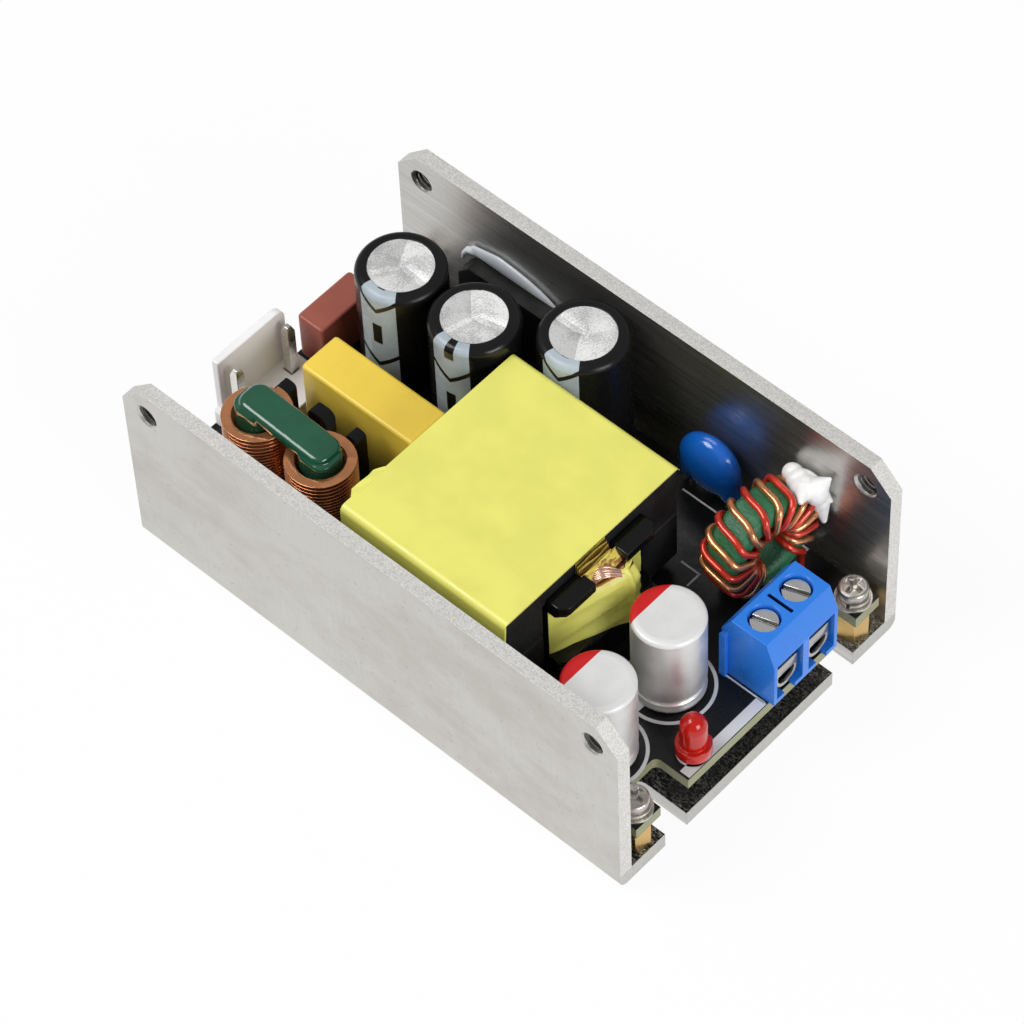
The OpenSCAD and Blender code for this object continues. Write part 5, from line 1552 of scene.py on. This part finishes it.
def print_line(bm, start, end, width):
    """A straight printed line."""
    first, last = mm(*start, 0), mm(*end, 0)
    turn = (last - first).to_track_quat("X", "Z").to_matrix().to_4x4()
    size = Matrix.Diagonal(((last - first).length, width * MM, (PRINT_HIGH - PRINT_LOW) * MM, 1.0))
    middle = (first + last) / 2 + mm(0, 0, BOARD_TOP + (PRINT_HIGH + PRINT_LOW) / 2)
    bmesh.ops.create_cube(bm, size=1.0, matrix=Matrix.Translation(middle) @ turn @ size)


def print_arc(bm, centre, inner, outer, start, sweep):
    """A printed ring, or part of one."""
    corners = [(inner, PRINT_LOW), (outer, PRINT_LOW), (outer, PRINT_HIGH), (inner, PRINT_HIGH)]
    heading = Vector((cos(radians(start)), sin(radians(start)), 0))
    verts = [bm.verts.new(mm(*centre, BOARD_TOP + z) + heading * reach * MM) for reach, z in corners]
    face = bm.faces.new(verts)
    bmesh.ops.spin(
        bm, geom=[*verts, *face.edges, face], cent=mm(*centre, 0), axis=UP, dvec=(0, 0, 0),
        angle=radians(sweep), steps=72, use_merge=sweep >= 360,
    )


PRINT_LINES = (
    ((34.06, -11.05), (34.06, 1.2), 1.3),
    ((28.3, 1.2), (34.5, 1.2), 0.2),
    ((9.7, 16.57), (17.6, 16.57), 0.22),
    ((9.7, 19.3), (17.6, 19.3), 0.22),
    ((15.9, 9.2), (18.6, 9.2), 0.22),
    ((18.5, 9.2), (18.5, 7.2), 0.22),
    ((24.3, 19.3), (25.15, 19.3), 0.22),
    ((25.05, 18.5), (25.05, 19.3), 0.22),
)
CAN_RINGS = ((4.75, 5.15, 0, 360), (3.7, 4.7, 92, 176))
LAMP_RING = (1.4, 1.8, 0, 360)


def board_print():
    """Rings round the output cans and the lamp, the edge stripe and a few outlines."""
    bm = bmesh.new()
    for line in PRINT_LINES:
        print_line(bm, *line)
    for number in (1, 2):
        middle = centre_mm(f"output_can_{number}").xy
        for ring in CAN_RINGS:
            print_arc(bm, middle, *ring)
    print_arc(bm, centre_mm("led_lens").xy, *LAMP_RING)
    closed_outward(bm)
    piece("board_print", bm, [FINISHES["white_print"]])


board_print()


# Screw threads in the four wall holes

THREAD_PITCH = 0.5
THREAD_TURNS = 2.8
THREAD_STEPS = 28
THREAD_RIDGE = ((1.30, 0.1), (1.03, 0.32), (1.30, 0.54))
HOLE_X, HOLE_Z = 31.5, 23.7


def wall_threads():
    """A raised spiral in each tapped hole, dark grey as a painted shade in the hole."""
    bm = bmesh.new()
    for x in (-HOLE_X, HOLE_X):
        for y in (CHANNEL_LOW.y, CHANNEL_HIGH.y - WALL_T):
            verts = [bm.verts.new(mm(x + reach, y + along, HOLE_Z)) for reach, along in THREAD_RIDGE]
            face = bm.faces.new(verts)
            bmesh.ops.spin(
                bm, geom=[*verts, *face.edges, face], cent=mm(x, y, HOLE_Z), axis=(0, 1, 0),
                dvec=mm(0, THREAD_PITCH / THREAD_STEPS, 0), angle=2 * pi * THREAD_TURNS,
                steps=round(THREAD_STEPS * THREAD_TURNS),
            )
    closed_outward(bm)
    piece("wall_threads", bm, [FINISHES["thread"]])


wall_threads()


# Stage, light and camera

def area_light(name, towards, distance, size, power):
    """A soft box that faces the middle of the part."""
    lamp = bpy.data.lights.new(name, "AREA")
    lamp.shape = "RECTANGLE"
    lamp.size, lamp.size_y = size
    lamp.energy = power
    obj = bpy.data.objects.new(name, lamp)
    direction = Vector(towards).normalized()
    obj.location = LOOK_AT + direction * distance
    obj.rotation_euler = direction.to_track_quat("Z", "Y").to_euler()
    SCENE.collection.objects.link(obj)


CAMERA_AZIMUTH = radians(44.624)
CAMERA_ELEVATION = radians(53.690)
CAMERA_ROLL = radians(-2.920)
CAMERA_DISTANCE = 526.504 * MM
LOOK_AT = mm(-1.014, 1.031, 10.0)
FOCAL_SHARE = 4909.38 / 1024
SENSOR = 36.0


def place_camera():
    """The photograph's view: azimuth, elevation and roll about the part."""
    back = Vector((
        sin(CAMERA_AZIMUTH) * cos(CAMERA_ELEVATION),
        -cos(CAMERA_AZIMUTH) * cos(CAMERA_ELEVATION),
        sin(CAMERA_ELEVATION),
    ))
    right = (-back).cross(UP).normalized()
    down = (-back).cross(right)
    turned_right = right * cos(CAMERA_ROLL) - down * sin(CAMERA_ROLL)
    turned_up = -(right * sin(CAMERA_ROLL) + down * cos(CAMERA_ROLL))
    camera = bpy.data.cameras.new("camera")
    camera.sensor_width = SENSOR
    camera.lens = FOCAL_SHARE * SENSOR
    camera.clip_start = 0.01
    camera.clip_end = 20.0
    obj = bpy.data.objects.new("camera", camera)
    spot = LOOK_AT + back * CAMERA_DISTANCE
    turn = Matrix((turned_right, turned_up, back)).transposed().to_4x4()
    obj.matrix_world = Matrix.Translation(spot) @ turn
    SCENE.collection.objects.link(obj)
    SCENE.camera = obj


FLOOR_HALF = 6.0
FLOOR_DROP = 0.2
FLOOR_WHITE = 0.93
ROOM_LIGHT = 0.36


def white_seen(wire, shown, plain_shader, seen_share):
    """A shader that the camera and reflections see mostly as white."""
    path = wire.add("LightPath")
    seen = wire.larger(path.outputs["Is Camera Ray"], path.outputs["Is Glossy Ray"])
    seen = wire.larger(seen, path.outputs["Is Transmission Ray"])
    mix = wire.add("MixShader")
    wire.feed(mix.inputs[0], wire.times(seen, seen_share))
    wire.tree.links.new(plain_shader, mix.inputs[1])
    wire.tree.links.new(shown, mix.inputs[2])
    return mix.outputs[0]


def build_floor():
    """Plain white floor that keeps a trace of the part's shadow."""
    bm = bmesh.new()
    bmesh.ops.create_grid(bm, x_segments=1, y_segments=1, size=FLOOR_HALF)
    mesh = bpy.data.meshes.new("floor")
    bm.to_mesh(mesh)
    bm.free()
    floor = bpy.data.objects.new("floor", mesh)
    floor.location = (0, 0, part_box("channel")[0].z - FLOOR_DROP * MM)
    SCENE.collection.objects.link(floor)
    material = bpy.data.materials.new("floor_white")
    material.use_nodes = True
    wire = Wiring(material.node_tree)
    shader = material.node_tree.nodes["Principled BSDF"]
    shader.inputs["Base Color"].default_value = (0.9, 0.9, 0.9, 1)
    shader.inputs["Roughness"].default_value = 0.9
    shader.inputs["Specular IOR Level"].default_value = 0.0
    glow = wire.add("Emission")
    out = material.node_tree.nodes["Material Output"]
    wire.feed(out.inputs["Surface"], white_seen(wire, glow.outputs[0], shader.outputs[0], FLOOR_WHITE))
    mesh.materials.append(material)


def build_world():
    """Soft room light, with a white backdrop that only the camera sees."""
    world = bpy.data.worlds.new("studio")
    world.use_nodes = True
    SCENE.world = world
    wire = Wiring(world.node_tree)
    room = world.node_tree.nodes["Background"]
    room.inputs["Color"].default_value = (1.0, 0.99, 0.97, 1)
    room.inputs["Strength"].default_value = ROOM_LIGHT
    backdrop = wire.add("Background")
    backdrop.inputs["Strength"].default_value = 1.0
    path = wire.add("LightPath")
    mix = wire.add("MixShader")
    wire.feed(mix.inputs[0], path.outputs["Is Camera Ray"])
    wire.tree.links.new(room.outputs[0], mix.inputs[1])
    wire.tree.links.new(backdrop.outputs[0], mix.inputs[2])
    out = world.node_tree.nodes["World Output"]
    wire.feed(out.inputs["Surface"], mix.outputs[0])


SCENE.view_settings.view_transform = "Standard"
place_camera()
build_floor()
build_world()
area_light("left_box", (-0.38, -0.42, 0.82), 0.75, (0.40, 0.40), 3.4)
area_light("right_box", (0.92, -0.10, 0.42), 0.75, (0.36, 0.36), 2.8)
